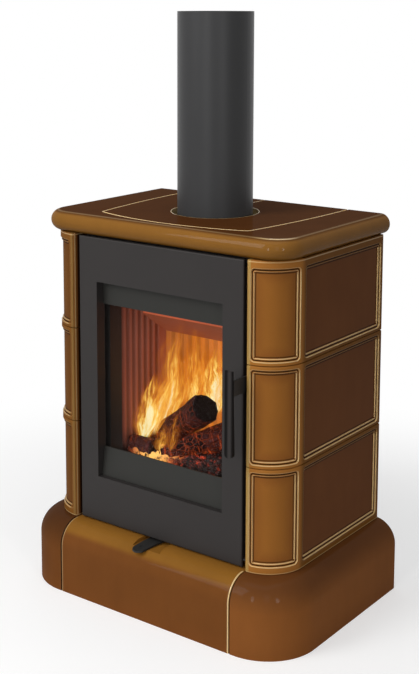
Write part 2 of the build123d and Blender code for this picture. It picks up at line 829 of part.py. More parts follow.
# ---------------------------------------------------------------- top carrier
carrier_top = tile_top
carrier_bottom = carrier_top - carrier_thickness
carrier_front = frame_front
carrier_rear = column_rear - column_rear_step
top_carrier = block(-carrier_half, carrier_half, carrier_front, carrier_rear, carrier_bottom, carrier_top)
leg_inner = carrier_half - carrier_side_bar
top_carrier -= block(-leg_inner, leg_inner, carrier_front + carrier_cross_bar,
                     carrier_rear - carrier_cross_bar, carrier_bottom - over, carrier_top + over)
for x0, x1 in ((leg_inner, shell_half), (-shell_half, -leg_inner)):
    for y0 in (shell_front, shell_rear - carrier_leg):
        top_carrier += block(x0, x1, y0, y0 + carrier_leg, shell_top, carrier_bottom)
save("top_carrier", top_carrier)

# ---------------------------------------------------------------- rear shield, clips and seals
shield_front = shell_rear + shield_gap
shield_half = column_half - tile_wall - shield_clearance
rear_shield = block(-shield_half, shield_half, shield_front, shield_front + shield_thickness,
                    shield_bottom, shield_top)
rear_shield += block(-skirt_half, skirt_half, shield_front, shield_front + shield_thickness,
                     skirt_bottom, shield_bottom)
shield_inner = shield_half - shield_thickness
for x0, x1 in ((shield_inner, shield_half), (-shield_half, -shield_inner)):
    rear_shield += block(x0, x1, shield_front - shield_flange, shield_front, shield_bottom, shield_top)
for index in range(vent_count):
    vent_x = (index - (vent_count - 1) / 2) * vent_pitch
    for vent_z in (shield_bottom + vent_inset, shield_top - vent_inset):
        rear_shield -= Pos(vent_x, shield_front, vent_z) * Box(vent_width, 3 * shield_flange, vent_height)
spacer_bore = shield_screw_radius + shield_screw_play
spacers = []
shield_screws = []
for x in (-spacer_x, spacer_x):
    for z in (spacer_low, spacer_high):
        tube = rod_y(x, z, shell_rear, shield_front, spacer_radius)
        spacers.append(tube - rod_y(x, z, shell_rear - over, shield_front + over, spacer_bore))
        rear_shield -= rod_y(x, z, shield_front - over, shield_front + shield_thickness + over, spacer_bore)
        screw_end = shield_front + shield_thickness
        shank = rod_y(x, z, shell_rear_inner, screw_end, shield_screw_radius)
        shield_screws.append(shank + rod_y(x, z, screw_end, screw_end + screw_head_height, spacer_radius))
save("rear_shield", rear_shield)
save("shield_spacers", *spacers)
save("shield_screws", *shield_screws)

clips = []
for low, high, _, _ in rows.values():
    middle = (low + high) / 2
    clip = block(shield_half, column_half - tile_wall - seal_gap, shield_front - clip_length,
                 shield_front, middle - clip_width / 2, middle + clip_width / 2)
    clips += [clip, mirrored(clip)]
save("tile_clips", *clips)

seal_front = tile_front + tile_lip_depth
seal_middle = tile_edge_x + tile_lip_width / 2
seal = block(seal_middle - seal_width / 2, seal_middle + seal_width / 2, seal_front, frame_front,
             frame_bottom, frame_top)
save("tile_seals", seal, mirrored(seal))

# ---------------------------------------------------------------- plinth and feet
plinth_half = shell_half + 2 * plinth_wall
plinth_front = shell_front + plinth_wall
plinth_rear = shell_rear
plinth_frame = Part()
for side in (-1, 1):
    outer = side * plinth_half
    wall_inner = side * (plinth_half - plinth_wall)
    flange_inner = side * (plinth_half - plinth_flange - plinth_wall)
    plinth_frame += block(min(outer, wall_inner), max(outer, wall_inner), plinth_front, plinth_rear,
                          plinth_floor_gap, shell_bottom)
    plinth_frame += block(min(outer, flange_inner), max(outer, flange_inner), plinth_front, plinth_rear,
                          shell_bottom - plinth_wall, shell_bottom)
    plinth_frame += block(min(outer, flange_inner), max(outer, flange_inner), plinth_front, plinth_rear,
                          plinth_floor_gap, plinth_floor_gap + plinth_wall)
for y0, y1 in ((plinth_front, plinth_front + plinth_wall), (plinth_rear - plinth_wall, plinth_rear)):
    plinth_frame += block(-plinth_half, plinth_half, y0, y1, plinth_floor_gap,
                          plinth_floor_gap + plinth_bar_height)
foot_x = plinth_half - foot_inset
foot_places = [(x, y) for x in (-foot_x, foot_x)
               for y in (plinth_front + foot_inset, plinth_rear - foot_inset)]
feet = []
nuts = []
for x, y in foot_places:
    plinth_frame -= rod(x, y, plinth_floor_gap - over, plinth_floor_gap + plinth_wall + over,
                        foot_stud_radius)
    stud = rod(x, y, foot_height, foot_stud_length, foot_stud_radius)
    feet.append(rod(x, y, 0, foot_height, foot_radius) + stud)
    nut_bottom = plinth_floor_gap + plinth_wall
    for z in (nut_bottom, plinth_floor_gap - nut_height):
        hexagon = RegularPolygon(nut_radius, 6) - Circle(foot_stud_radius)
        nuts.append(extrude(Pos(x, y, z) * hexagon, nut_height))
save("plinth_frame", plinth_frame)
save("levelling_feet", *feet)
save("foot_nuts", *nuts)

# ---------------------------------------------------------------- air control
air_box_front = door_front + air_box_front_behind_door
air_box_rear = air_box_front + air_box_depth
air_box = block(-air_box_half, air_box_half, air_box_front, air_box_rear, air_box_bottom, shell_bottom)
air_box -= block(-air_box_half + air_box_wall, air_box_half - air_box_wall, air_box_front + air_box_wall,
                 air_box_rear - air_box_wall, air_box_bottom + air_box_bottom_thickness, shell_bottom + over)
air_box += rod(lever_x, lever_y, lever_top + lever_play, air_box_bottom, box_boss_radius)
air_box -= rod(lever_x, lever_y, lever_top, shell_bottom, lever_bolt_radius)
bolt_top = air_box_bottom + air_box_bottom_thickness
for column in (-1, 0, 1):
    air_box -= Pos(column * air_slot_pitch, shutter_middle, air_box_bottom) * Box(
        air_slot_width, air_slot_length, 3 * air_box_bottom_thickness)
save("air_box", air_box)

lever_bolt = rod(lever_x, lever_y, lever_bottom - lever_play, bolt_top, lever_bolt_radius)
lever_bolt += rod(lever_x, lever_y, lever_bottom - lever_play - lever_bolt_head, lever_bottom - lever_play,
                  lever_bolt_head_radius)
save("lever_bolt", lever_bolt)

rail_inner = shutter_width / 2 + shutter_play
rail_bottom = shutter_bottom - shutter_play - rail_lip_thickness
rails = []
for side in (-1, 1):
    near_edge = shutter_middle + side * rail_inner
    far_edge = near_edge + side * rail_width
    lip_edge = near_edge - side * rail_lip
    web = block(-shutter_half, shutter_half, min(near_edge, far_edge), max(near_edge, far_edge),
                rail_bottom, air_box_bottom)
    lip = block(-shutter_half, shutter_half, min(lip_edge, far_edge), max(lip_edge, far_edge),
                rail_bottom, rail_bottom + rail_lip_thickness)
    rails.append(web + lip)
save("shutter_rails", *rails)

air_shutter = Pos(drive_x, shutter_middle, (shutter_bottom + shutter_top) / 2) * Box(
    2 * shutter_half, shutter_width, shutter_thickness)
for column in (-1, 1):
    air_shutter -= Pos(column * air_slot_pitch + drive_x, shutter_middle, shutter_top) * Box(
        air_slot_width, air_slot_length, 3 * shutter_thickness)
drive_slot = SlotOverall(drive_slot_length, 2 * (drive_pin_radius + drive_slot_play), rotation=90)
air_shutter -= extrude(Pos(drive_x, drive_y, shutter_bottom - over) * drive_slot,
                       shutter_thickness + 2 * over)
save("air_shutter", air_shutter)


def air_lever():
    """The lever, drawn straight along Y about its pivot, then turned to its place at rest."""
    root = -(lever_y - frame_front)
    tip = -lever_tip_ahead
    tip_round = lever_tip_width / 2
    root_half = lever_root_width / 2
    plan = make_face(Polyline((-root_half, root), (-tip_round, tip + tip_round),
                              (tip_round, tip + tip_round), (root_half, root), close=True))
    plan += Pos(0, tip + tip_round) * Circle(tip_round)
    blade = extrude(Pos(0, 0, -2 * lever_drop) * plan, 2 * lever_drop + lever_thickness)
    slope_start = -(lever_y - door_front + lever_bend_ahead)
    side_profile = Plane.YZ * make_face(Polyline(
        (root, 0), (root, lever_thickness), (slope_start, lever_thickness),
        (tip, lever_thickness - lever_drop), (tip, -lever_drop), (slope_start, 0), close=True))
    blade &= Pos(-lever_root_width, 0, 0) * extrude(side_profile, 2 * lever_root_width)
    dimple_y = tip + lever_dimple_back
    dimple_share = (slope_start - dimple_y) / (slope_start - tip)
    dimple_z = lever_thickness - lever_drop * dimple_share
    blade -= rod(0, dimple_y, dimple_z - lever_dimple_depth, dimple_z + lever_dimple_depth + over,
                 lever_dimple_radius)
    plate = block(-lever_root_width / 2, lever_root_width / 2, root, 0, 0, lever_thickness)
    plate += rod(0, 0, 0, lever_thickness, lever_root_width / 2)
    plate += block(-lever_rear_width / 2, lever_rear_width / 2, 0, lever_rear_arm, 0, lever_thickness)
    plate += rod(0, lever_rear_arm, 0, lever_thickness, lever_rear_width / 2)
    plate -= rod(0, 0, -over, lever_thickness + over, lever_bolt_radius + hinge_running_clearance)
    whole = plate + blade
    whole += rod(0, lever_rear_arm, lever_thickness, shutter_top - lever_bottom, drive_pin_radius)
    return Pos(lever_x, lever_y, lever_bottom) * Rot(0, 0, lever_rest_angle) * whole


save("air_lever", air_lever())

# ---------------------------------------------------------------- door
door_leaf = block(-door_half, door_half, door_front, door_front + door_skin, door_bottom, door_top)
front_edges = [e for e in door_leaf.edges() if near(e.bounding_box().max.Y, door_front)]
door_leaf = fillet(front_edges, door_edge_rounding)
skin_back = door_front + door_skin
for side in (-1, 1):
    outer = side * door_half
    inner = side * (door_half - door_return_wall)
    door_leaf += block(min(outer, inner), max(outer, inner), skin_back, door_back,
                       door_box_bottom, door_box_top)
for z0 in (door_box_bottom, door_box_top - door_return_wall):
    door_leaf += block(-door_half, door_half, skin_back, door_back, z0, z0 + door_return_wall)
door_leaf += ring(window_half + recess_wall, window_half, skin_back, door_back,
                  window_bottom - recess_wall, window_bottom, window_top, window_top + recess_wall)
door_leaf += block(-door_back_half, door_back_half, door_back - door_back_thickness, door_back,
                   door_box_bottom, door_box_top)
rope_half_width = rope_width / 2 + rope_side_play
rope_bottom = door_box_bottom + rope_end_inset
rope_top = door_box_top - rope_end_inset
for inner_face in (rope_x - rope_half_width - channel_rib, rope_x + rope_half_width):
    shift = inner_face - rope_x
    door_leaf += ring(inner_face + channel_rib, inner_face, door_back, door_back + channel_depth,
                      rope_bottom - shift - channel_rib, rope_bottom - shift,
                      rope_top + shift, rope_top + shift + channel_rib)
door_leaf -= block(-window_half, window_half, door_front - over, door_back + over, window_bottom, window_top)
for z0, z1 in ((door_box_bottom - over, door_box_bottom + door_return_wall + over),
               (door_box_top - door_return_wall - over, door_box_top + over)):
    door_leaf -= rod(hinge_x, hinge_y, z0, z1, hinge_pin_radius)
door_leaf -= rod_x(pivot_y, arm_pivot_level, door_half - door_return_wall - over, door_half + over,
                   pivot_radius)
clip_screw_x = glass_half + (glass_clip_length - glass_clip_reach) / 2
for level in glass_clip_levels:
    for x in (-clip_screw_x, clip_screw_x):
        door_leaf -= rod_y(x, level, door_back - door_back_thickness - over, door_back + over, screw_radius)
save("door_leaf", door_leaf)

door_gasket = ring(rope_x + rope_width / 2, rope_x - rope_width / 2, door_back, frame_front - rope_gap,
                   rope_bottom - rope_width / 2, rope_bottom + rope_width / 2,
                   rope_top - rope_width / 2, rope_top + rope_width / 2)
rope_edges = [e for e in door_gasket.edges() if near(e.bounding_box().min.Y, frame_front - rope_gap)]
door_gasket = fillet(rope_edges, rope_rounding)
save("door_gasket", door_gasket)

insert_half = window_half - panel_play
door_head = block(-insert_half, insert_half, door_front + head_plate_back, door_back,
                  head_plate_bottom, window_top - panel_play)
save("door_head", door_head)

sill_foot_y = door_front + sill_foot_back
sill_foot_z = window_bottom + sill_foot_rise
sill_profile = Plane.YZ * make_face(Polyline(
    (sill_foot_y, sill_foot_z), (door_back - panel_thickness, sill_top), (door_back, sill_top),
    (door_back, sill_top - 2 * panel_thickness), (sill_foot_y + panel_thickness, sill_foot_z),
    (sill_foot_y + panel_thickness, window_bottom + panel_play), (sill_foot_y, window_bottom + panel_play),
    close=True))
save("door_sill", Pos(-insert_half, 0, 0) * extrude(sill_profile, 2 * insert_half))

door_glass = block(-glass_half, glass_half, glass_front, glass_back, glass_bottom, glass_top)
save("door_glass", door_glass)
seal_outer = glass_half - glass_seal_inset
seal_bottom = glass_bottom + glass_seal_inset
seal_top = glass_top - glass_seal_inset
save("glass_gasket", ring(seal_outer, seal_outer - glass_seal_width, door_back, glass_front,
                          seal_bottom, seal_bottom + glass_seal_width,
                          seal_top - glass_seal_width, seal_top))

glass_clips = []
glass_screws = []
for level in glass_clip_levels:
    low = level - glass_clip_height / 2
    high = level + glass_clip_height / 2
    clip = block(glass_half - glass_clip_reach, glass_half + glass_clip_length - glass_clip_reach,
                 glass_back, glass_back + glass_clip_thickness, low, high)
    clip += block(glass_half + glass_clip_play, glass_half + glass_clip_length - glass_clip_reach,
                  door_back, glass_back, low, high)
    clip -= rod_y(clip_screw_x, level, door_back - over, glass_back + glass_clip_thickness + over,
                  screw_radius)
    clip_back = glass_back + glass_clip_thickness
    screw = rod_y(clip_screw_x, level, door_back - door_back_thickness, clip_back, screw_radius)
    screw += rod_y(clip_screw_x, level, clip_back, clip_back + screw_head_height, screw_head_radius)
    glass_clips += [clip, mirrored(clip)]
    glass_screws += [screw, mirrored(screw)]
save("glass_clips", *glass_clips)
save("glass_screws", *glass_screws)

# ---------------------------------------------------------------- hinge
hinge_bore = hinge_pin_radius + hinge_running_clearance
hinge_plates = []
for z0, z1 in ((lower_hinge_bottom, lower_hinge_top), (upper_hinge_bottom, upper_hinge_top)):
    plate = block(hinge_x - hinge_plate_half, hinge_x + hinge_plate_half, hinge_y, frame_front, z0, z1)
    plate += rod(hinge_x, hinge_y, z0, z1, hinge_plate_half)
    hinge_plates.append(plate - rod(hinge_x, hinge_y, z0 - over, z1 + over, hinge_bore))
save("hinge_plates", *hinge_plates)
washer = rod(hinge_x, hinge_y, lower_hinge_top, door_box_bottom, hinge_washer_radius)
washer_bore = rod(hinge_x, hinge_y, lower_hinge_top - over, door_box_bottom + over, hinge_bore)
save("hinge_washer", washer - washer_bore)
save("hinge_pins",
     rod(hinge_x, hinge_y, lower_hinge_bottom - pin_below_plate, door_box_bottom + door_return_wall,
         hinge_pin_radius),
     rod(hinge_x, hinge_y, door_box_top - door_return_wall, upper_hinge_top + pin_below_plate,
         hinge_pin_radius))

# ---------------------------------------------------------------- handle
bar_front = door_front - bar_front_ahead
bar_left = bar_right - bar_width
bar_profile = Plane.YZ * make_face(Polyline(
    (bar_front, bar_bottom), (bar_front, bar_top), (bar_front + bar_top_thickness, bar_top),
    (bar_front + bar_bottom_thickness, bar_bottom), close=True))
handle_bar = Pos(bar_left, 0, 0) * extrude(bar_profile, bar_width)
bar_corners = [e for e in handle_bar.edges() if near(e.center().Z, bar_bottom)
               and near(e.bounding_box().size.X, 0)]
handle_bar = fillet(bar_corners, bar_end_radius)

arm_left = bar_right - arm_thickness
arm_top = arm_bottom + arm_height
arm_share = (bar_top - arm_bottom) / (bar_top - bar_bottom)
arm_front = bar_front + bar_top_thickness + (bar_bottom_thickness - bar_top_thickness) * arm_share
tongue_end = door_front + tongue_behind_door
arm_profile = Plane.YZ * make_face(Polyline(
    (arm_front, arm_bottom), (pivot_y + arm_height / 3, arm_bottom),
    (tongue_end, arm_top - tongue_drop), (tongue_end, arm_top), (arm_front, arm_top), close=True))
handle_arm = Pos(arm_left, 0, 0) * extrude(arm_profile, arm_thickness)
handle_arm -= rod_x(pivot_y, arm_pivot_level, arm_left - over, bar_right + over,
                    pivot_radius + hinge_running_clearance)
bar_arm_cut = block(arm_left, bar_right, arm_front, arm_front + bar_bottom_thickness, arm_bottom, arm_top)
handle_bar -= bar_arm_cut
save("handle_bar", handle_bar)
save("handle_arm", handle_arm)

handle_pivot = rod_x(pivot_y, arm_pivot_level, door_half - door_return_wall, bar_right + pivot_side_play,
                     pivot_radius)
handle_pivot += rod_x(pivot_y, arm_pivot_level, door_half, arm_left - pivot_side_play, pivot_shoulder_radius)
head_start = bar_right + pivot_side_play
handle_pivot += rod_x(pivot_y, arm_pivot_level, head_start, head_start + pivot_head_thickness,
                      pivot_shoulder_radius)
save("handle_pivot", handle_pivot)

keeper_bottom = arm_top + latch_play
keeper_left = bar_right - arm_thickness / 2 - keeper_thickness / 2
save("latch_keeper", block(keeper_left, keeper_left + keeper_thickness, frame_front - keeper_length,
                           frame_front, keeper_bottom, keeper_bottom + keeper_height))
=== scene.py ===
"""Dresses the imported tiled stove: glazed tiles, painted steel, window, clay, logs and flames."""

import math

import bmesh
import bpy
from mathutils import Matrix, Vector, noise


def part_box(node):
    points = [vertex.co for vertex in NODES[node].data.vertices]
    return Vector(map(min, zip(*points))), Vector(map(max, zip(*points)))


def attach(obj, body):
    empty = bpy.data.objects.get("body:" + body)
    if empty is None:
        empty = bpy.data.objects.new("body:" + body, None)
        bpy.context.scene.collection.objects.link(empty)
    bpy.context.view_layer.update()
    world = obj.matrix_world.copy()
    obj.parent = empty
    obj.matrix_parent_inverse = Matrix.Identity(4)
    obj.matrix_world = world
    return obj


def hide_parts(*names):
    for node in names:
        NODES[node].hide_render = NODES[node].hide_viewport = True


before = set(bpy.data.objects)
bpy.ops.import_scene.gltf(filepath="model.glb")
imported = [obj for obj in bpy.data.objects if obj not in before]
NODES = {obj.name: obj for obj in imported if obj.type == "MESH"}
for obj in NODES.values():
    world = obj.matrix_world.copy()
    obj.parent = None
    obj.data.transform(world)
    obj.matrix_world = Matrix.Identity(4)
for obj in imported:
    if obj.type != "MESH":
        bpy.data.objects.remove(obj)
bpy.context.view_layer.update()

bl_info = {
    "name": "Tiled stove",
    "version": (1, 0, 0),
    "blender": (4, 5, 0),
    "location": "View3D > Sidebar > Stove",
    "description": "Finishes, fire and stage of a tiled stove around its packed frame",
    "category": "Object",
}

MM = 0.001

# ------------------------------------------------------------------ places in the frame, in metres
BRICK_LOW, BRICK_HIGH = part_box("hearth_bricks")
LOGS_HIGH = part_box("fire_logs")[1]
SIDE_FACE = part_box("lining_right")[0].x
BACK_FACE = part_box("lining_back")[0].y
BAFFLE_LOW, BAFFLE_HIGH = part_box("baffle_lower")
TOP_LOW, TOP_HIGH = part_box("top_border")
INSET_LOW, INSET_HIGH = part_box("top_inset")
BASE_LOW, BASE_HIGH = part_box("base_tile_right")
PIPE_LOW, PIPE_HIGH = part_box("flue_pipe")
BAR_LOW, BAR_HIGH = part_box("handle_bar")

ROWS = ("lower", "middle", "upper")


# ------------------------------------------------------------------ properties
def colour(name, description, value):
    return bpy.props.FloatVectorProperty(
        name=name, description=description, subtype="COLOR", size=3, min=0.0, max=1.0,
        default=value)


def length(name, description, value):
    return bpy.props.FloatProperty(name=name, description=description, unit="LENGTH", default=value)


def number(name, description, value):
    return bpy.props.FloatProperty(name=name, description=description, default=value)


class GlazeProperties(bpy.types.PropertyGroup):
    """Colours and edge sizes of the ceramic glaze."""

    # the deep colour is also used for painted shade towards a panel's edges and on the flank beside
    # the door
    deep: colour("Deep glaze", "Glaze towards the edges of a panel", (0.220, 0.072, 0.017))
    amber: colour("Amber glaze", "Glaze on rounded edges", (0.262, 0.113, 0.018))
    panel: colour("Panel glaze", "Glaze in the recessed panels", (0.350, 0.133, 0.024))
    # painted shade: the side panels are glazed darker than the corner panels
    side_panel: colour("Side panel glaze", "Glaze in the side panels", (0.175, 0.060, 0.0165))
    plinth: colour("Plinth glaze", "Glaze on the upright faces of the base", (0.225, 0.078, 0.018))
    plate: colour("Plate glaze", "Glaze on the flat top plate", (0.092, 0.033, 0.010))
    rim_glaze: colour("Rim glaze", "Glaze on the rims of a tile", (0.430, 0.170, 0.033))
    thin: colour("Thin glaze", "Pale line where the glaze thins out on a step", (0.82, 0.58, 0.27))
    # the crease colour is also used for painted shade beside the door, at the joints and under the
    # top plate
    crease: colour("Crease", "Dark line where the glaze gathers in a step", (0.040, 0.016, 0.006))
    gold: colour("Gold edge", "Edge of a tile beside the door", (0.47, 0.285, 0.085))
    rim: length("Upright rim", "Width of the upright rims of a tile", 8.5 * MM)
    joint_rim: length("Joint rim", "Height of a rim along a joint", 6.5 * MM)
    plinth_rim: length("Plinth rim", "Lowest rim of the lower row", 13.5 * MM)
    crown_rim: length("Crown rim", "Highest rim of the upper row", 14.5 * MM)
    ledge: length("Ledge", "Width of the ledge between the two steps of a panel", 6.0 * MM)
    panel_corner: length("Panel corner", "Corner radius of a panel's outer step", 8.0 * MM)
    corner_radius: length("Corner radius", "Radius of the column's rounded corner", 76.0 * MM)
    split_angle: bpy.props.FloatProperty(
        name="Split angle", description="End of the corner panel on the corner arc",
        subtype="ANGLE", default=math.radians(80.0))
    joint_x: length("Base joint", "Distance of the base's joints from the middle", 206.0 * MM)
    hole_radius: length("Flue hole", "Radius of the hole in the top plate", 87.0 * MM)


class SteelProperties(bpy.types.PropertyGroup):
    """Colours of the painted and the bare steel."""

    paint: colour("Stove paint", "Heat-proof paint of the door", (0.0300, 0.0265, 0.0255))
    pipe: colour("Pipe paint", "Heat-proof paint of the flue pipe", (0.036, 0.036, 0.037))
    shade: colour("Inner paint", "Paint in the window recess", (0.0260, 0.0255, 0.0225))
    zinc: colour("Zinc", "Zinc-coated sheet", (0.42, 0.43, 0.44))
    bare: colour("Bare steel", "Screws, pins and nuts", (0.35, 0.34, 0.33))
    soot: colour("Sooty steel", "Firebox steel", (0.022, 0.021, 0.020))


class FireProperties(bpy.types.PropertyGroup):
    """Colours of the firebox lining and of the fire."""

    clay: colour("Fire clay", "Lining of the firebox", (0.22, 0.11, 0.07))
    char: colour("Char", "Burnt wood", (0.011, 0.006, 0.006))
    bark: colour("Bark", "Wood that is not burnt through yet", (0.115, 0.030, 0.028))
    glow: colour("Glow", "Embers in the cracks of the wood", (1.0, 0.13, 0.02))
    # painted firelight: colours that the linings and the baffle emit in place of the fire's light
    side_firelight: colour("Side glow", "Light of the fire on the side linings", (0.108, 0.0175, 0.0085))
    back_firelight: colour("Back glow", "Light of the fire on the back lining", (0.500, 0.135, 0.011))
    baffle_firelight: colour("Baffle glow", "Light of the fire under the baffle", (0.150, 0.026, 0.009))
    light: number("Fire light", "Power of the light in the fire", 0.03)


class StageProperties(bpy.types.PropertyGroup):
    """Camera, lamps and floor."""

    camera_place: bpy.props.FloatVectorProperty(
        name="Camera", description="Place of the camera", unit="LENGTH", size=3,
        default=(1.450692, -1.978759, 1.181378))
    camera_turn: bpy.props.FloatProperty(
        name="Camera turn", description="Turn of the camera about the vertical", subtype="ANGLE",
        default=math.radians(37.36))
    camera_pitch: bpy.props.FloatProperty(
        name="Camera pitch", description="Tilt of the camera below the horizon", subtype="ANGLE",
        default=math.radians(7.895))
    lens: number("Lens", "Focal length in millimetres", 67.484)
    shift_x: number("Shift X", "Sideways shift of the frame", 0.04097)
    shift_y: number("Shift Y", "Upward shift of the frame", -0.24)
    floor: colour("Floor", "Pale floor", (0.60, 0.60, 0.60))
    ambient: number("Ambient", "Level of the light from all round", 0.20)


PROPERTIES = {
    "stove_glaze": GlazeProperties,
    "stove_steel": SteelProperties,
    "stove_fire": FireProperties,
    "stove_stage": StageProperties,
}


# ------------------------------------------------------------------ shader maths
class Wire:
    """A value in a material. Expressions on it add Math nodes."""

    def __init__(self, finish, socket):
        self.finish = finish
        self.socket = socket

    def math(self, operation, *values):
        return self.finish.add("ShaderNodeMath", {"operation": operation}, list(values))

    def __add__(self, other):
        return self.math("ADD", self, other)

    __radd__ = __add__

    def __sub__(self, other):
        return self.math("SUBTRACT", self, other)

    def __rsub__(self, other):
        return self.math("SUBTRACT", other, self)

    def __mul__(self, other):
        return self.math("MULTIPLY", self, other)

    __rmul__ = __mul__

    def __pow__(self, other):
        return self.math("POWER", self, other)

    def __abs__(self):
        return self.math("ABSOLUTE", self)

    def most(self, other):
        return self.math("MAXIMUM", self, other)

    def least(self, other):
        return self.math("MINIMUM", self, other)

    def root(self):
        return self.math("SQRT", self)

    def wave(self):
        return self.math("SINE", self)

    def rise(self, low, high):
        """0 below low, 1 above high, and smooth between."""
        return self.finish.add("ShaderNodeMapRange", {"interpolation_type": "SMOOTHSTEP"},
                               {"Value": self, "From Min": low, "From Max": high})

    def band(self, middle, half, soft):
        """1 within half of middle, fading to 0 over soft."""
        return 1 - abs(self - middle).rise(half, half + soft)


class Finish:
    """A procedural material on Object coordinates."""

    def __init__(self, name):
        self.material = bpy.data.materials.new(name)
        self.material.use_nodes = True
        self.tree = self.material.node_tree
        self.tree.nodes.clear()
        self.output = self.tree.nodes.new("ShaderNodeOutputMaterial")
        self.place = self.add("ShaderNodeTexCoord", output="Object")
        self.x, self.y, self.z = self.parts(self.place)

    def add(self, kind, settings=None, sockets=None, output=0):
        """Adds a node: its settings first, then the values or links of its sockets."""
        node = self.tree.nodes.new(kind)
        for key, value in (settings or {}).items():
            setattr(node, key, value)
        items = enumerate(sockets) if isinstance(sockets, list) else (sockets or {}).items()
        for key, value in items:
            self.join(node.inputs[key], value)
        return Wire(self, node.outputs[output])

    def join(self, socket, value):
        if isinstance(value, Wire):
            self.tree.links.new(value.socket, socket)
        elif isinstance(value, (int, float)):
            socket.default_value = value
        else:
            values = tuple(value)
            socket.default_value = values + (1.0,) * (len(socket.default_value) - len(values))

    def parts(self, vector):
        node = self.tree.nodes.new("ShaderNodeSeparateXYZ")
        self.tree.links.new(vector.socket, node.inputs[0])
        return [Wire(self, socket) for socket in node.outputs]

    def stretched(self, x, y, z, place=None):
        return self.add("ShaderNodeVectorMath", {"operation": "MULTIPLY"},
                        [place or self.place, (x, y, z)])

    def noise(self, scale, detail=3.0, roughness=0.5, place=None):
        return self.add("ShaderNodeTexNoise", {}, {
            "Vector": place or self.place, "Scale": scale, "Detail": detail,
            "Roughness": roughness})

    def cracks(self, scale, place=None):
        """Distance to the nearest edge of a net of cells."""
        return self.add("ShaderNodeTexVoronoi", {"feature": "DISTANCE_TO_EDGE"}, {
            "Vector": place or self.place, "Scale": scale})

    def mix(self, mask, first, second):
        """A colour between first, where the mask is 0, and second, where it is 1."""
        node = self.tree.nodes.new("ShaderNodeMix")
        node.data_type = "RGBA"
        for key, value in ((0, mask), (6, first), (7, second)):
            self.join(node.inputs[key], value)
        return Wire(self, node.outputs[2])

    def scaled(self, tint, factor):
        """A colour made lighter or darker by a factor."""
        vector = self.add("ShaderNodeCombineXYZ", {}, [factor, factor, factor])
        return self.add("ShaderNodeVectorMath", {"operation": "MULTIPLY"}, [tint, vector])

    def bump(self, height, distance, strength=1.0):
        return self.add("ShaderNodeBump", {}, {
            "Height": height, "Distance": distance, "Strength": strength})

    def surface(self, sockets):
        """Ends the material in a Principled shader."""
        shader = self.add("ShaderNodeBsdfPrincipled", {}, sockets)
        self.tree.links.new(shader.socket, self.output.inputs["Surface"])
        return self.material


def give(material, *names):
    """Puts a finish on CAD nodes."""
    for name in names:
        mesh = NODES[name].data
        mesh.materials.clear()
        mesh.materials.append(material)


# ------------------------------------------------------------------ mesh helpers
def make_piece(name, bm, material, body, smooth=True):
    """Turns a bmesh into a piece that rides on a body."""
    mesh = bpy.data.meshes.new(name)
    bm.to_mesh(mesh)
    bm.free()
    for face in mesh.polygons:
        face.use_smooth = smooth
    mesh.materials.append(material)
    piece = bpy.data.objects.new(name, mesh)
    bpy.context.scene.collection.objects.link(piece)
    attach(piece, body)
    return piece


def rough(point, scale, seed):
    """Smooth noise from -1 to 1 at a point."""
    return noise.noise(point * scale + Vector((seed, 2.3 * seed, -1.7 * seed)))


# ------------------------------------------------------------------ glazed tiles
def glaze_sheen(finish, tint, edge, crease, coat, relief=0.0):
    """The shared end of every glaze: mottling, creases and painted shade, pale lines, relief, waves
    and a coat.
    """
    glaze = bpy.context.scene.stove_glaze
    cloud = finish.noise(9.0, 4.0, 0.55)
    run = finish.noise(40.0, 3.0, 0.5, finish.stretched(1.0, 1.0, 0.25))
    speck = finish.noise(900.0, 2.0, 0.6)
    toned = finish.scaled(tint, (0.80 + cloud * 0.26 + run * 0.14) * (0.94 + speck * 0.12))
    toned = finish.mix(crease, toned, glaze.crease)
    wave = finish.noise(28.0, 2.0, 0.4)
    return finish.surface({
        "Base Color": finish.mix(edge, toned, glaze.thin),
        "Roughness": 0.34 - cloud * 0.10,
        "Normal": finish.bump(relief + wave * 0.16, 0.0012),
        "Coat Weight": coat + edge * 0.6,
        "Coat Roughness": 0.07,
        "Specular IOR Level": 0.0,
    })


def rounded_outline(across, up, low, high, corner):
    """Distance outwards from an upright rectangle with rounded corners."""
    half_across = (high[0] - low[0]) / 2
    half_up = (high[1] - low[1]) / 2
    over_a = abs(across - (low[0] + high[0]) / 2) - (half_across - corner)
    over_b = abs(up - (low[1] + high[1]) / 2) - (half_up - corner)
    outside = (over_a.most(0) ** 2 + over_b.most(0) ** 2).root()
    return outside + over_a.most(over_b).least(0) - corner


# Drawn lines: the distance of the middle, the half width and the softness of each
FOOT_LINE = (2 * MM, 0.4 * MM, 0.9 * MM)
CROWN_LINE = (3 * MM, 0.4 * MM, 1.0 * MM)
LIP_LINE = (4 * MM, 0.9 * MM, 0.9 * MM)
BASE_LINE = (-2.4 * MM, 0.9 * MM, 0.7 * MM)
BASE_SEAM = (0.7 * MM, 0.8 * MM, 0.8 * MM)
HIGHLIGHT_LINE = (-0.9 * MM, 0.25 * MM, 0.7 * MM)
# Lines on the steps of a panel: half width and softness
PALE_LINE = (0.20 * MM, 0.6 * MM)
STEP_CREASE = (0.8 * MM, 0.9 * MM)
PANEL_CREASE = (0.6 * MM, 1.2 * MM)
PANEL_CREASE_INSET = 2.9 * MM
# Distances over which a zone begins or ends
STEP_RELIEF = (-2.4 * MM, 0.4 * MM)
CROWN_RELIEF = (0.0, 6 * MM)
PANEL_SHADING = (-34 * MM, -8 * MM)
BESIDE_DOOR = (2 * MM, 3 * MM)
GOLD_START = (1 * MM, 3 * MM)
GOLD_END = (8.5 * MM, 10 * MM)
FLANK_EDGE = (0.4 * MM, 1.6 * MM)
FLANK_SHADE = (7 * MM, 14 * MM)
AWAY_EDGE = (17 * MM, 20 * MM)
TILE_END = (0.4 * MM, 1.4 * MM)
# How much painted shade darkens the left half, its gold edge and its pale lines
LEFT_SHADE, LEFT_GOLD_SHADE, LEFT_LINE_SHADE = 0.42, 0.45, 0.35


def left_half(finish):
    """1 on the left half of the stove."""
    return 1 - finish.x.rise(-1 * MM, 1 * MM)


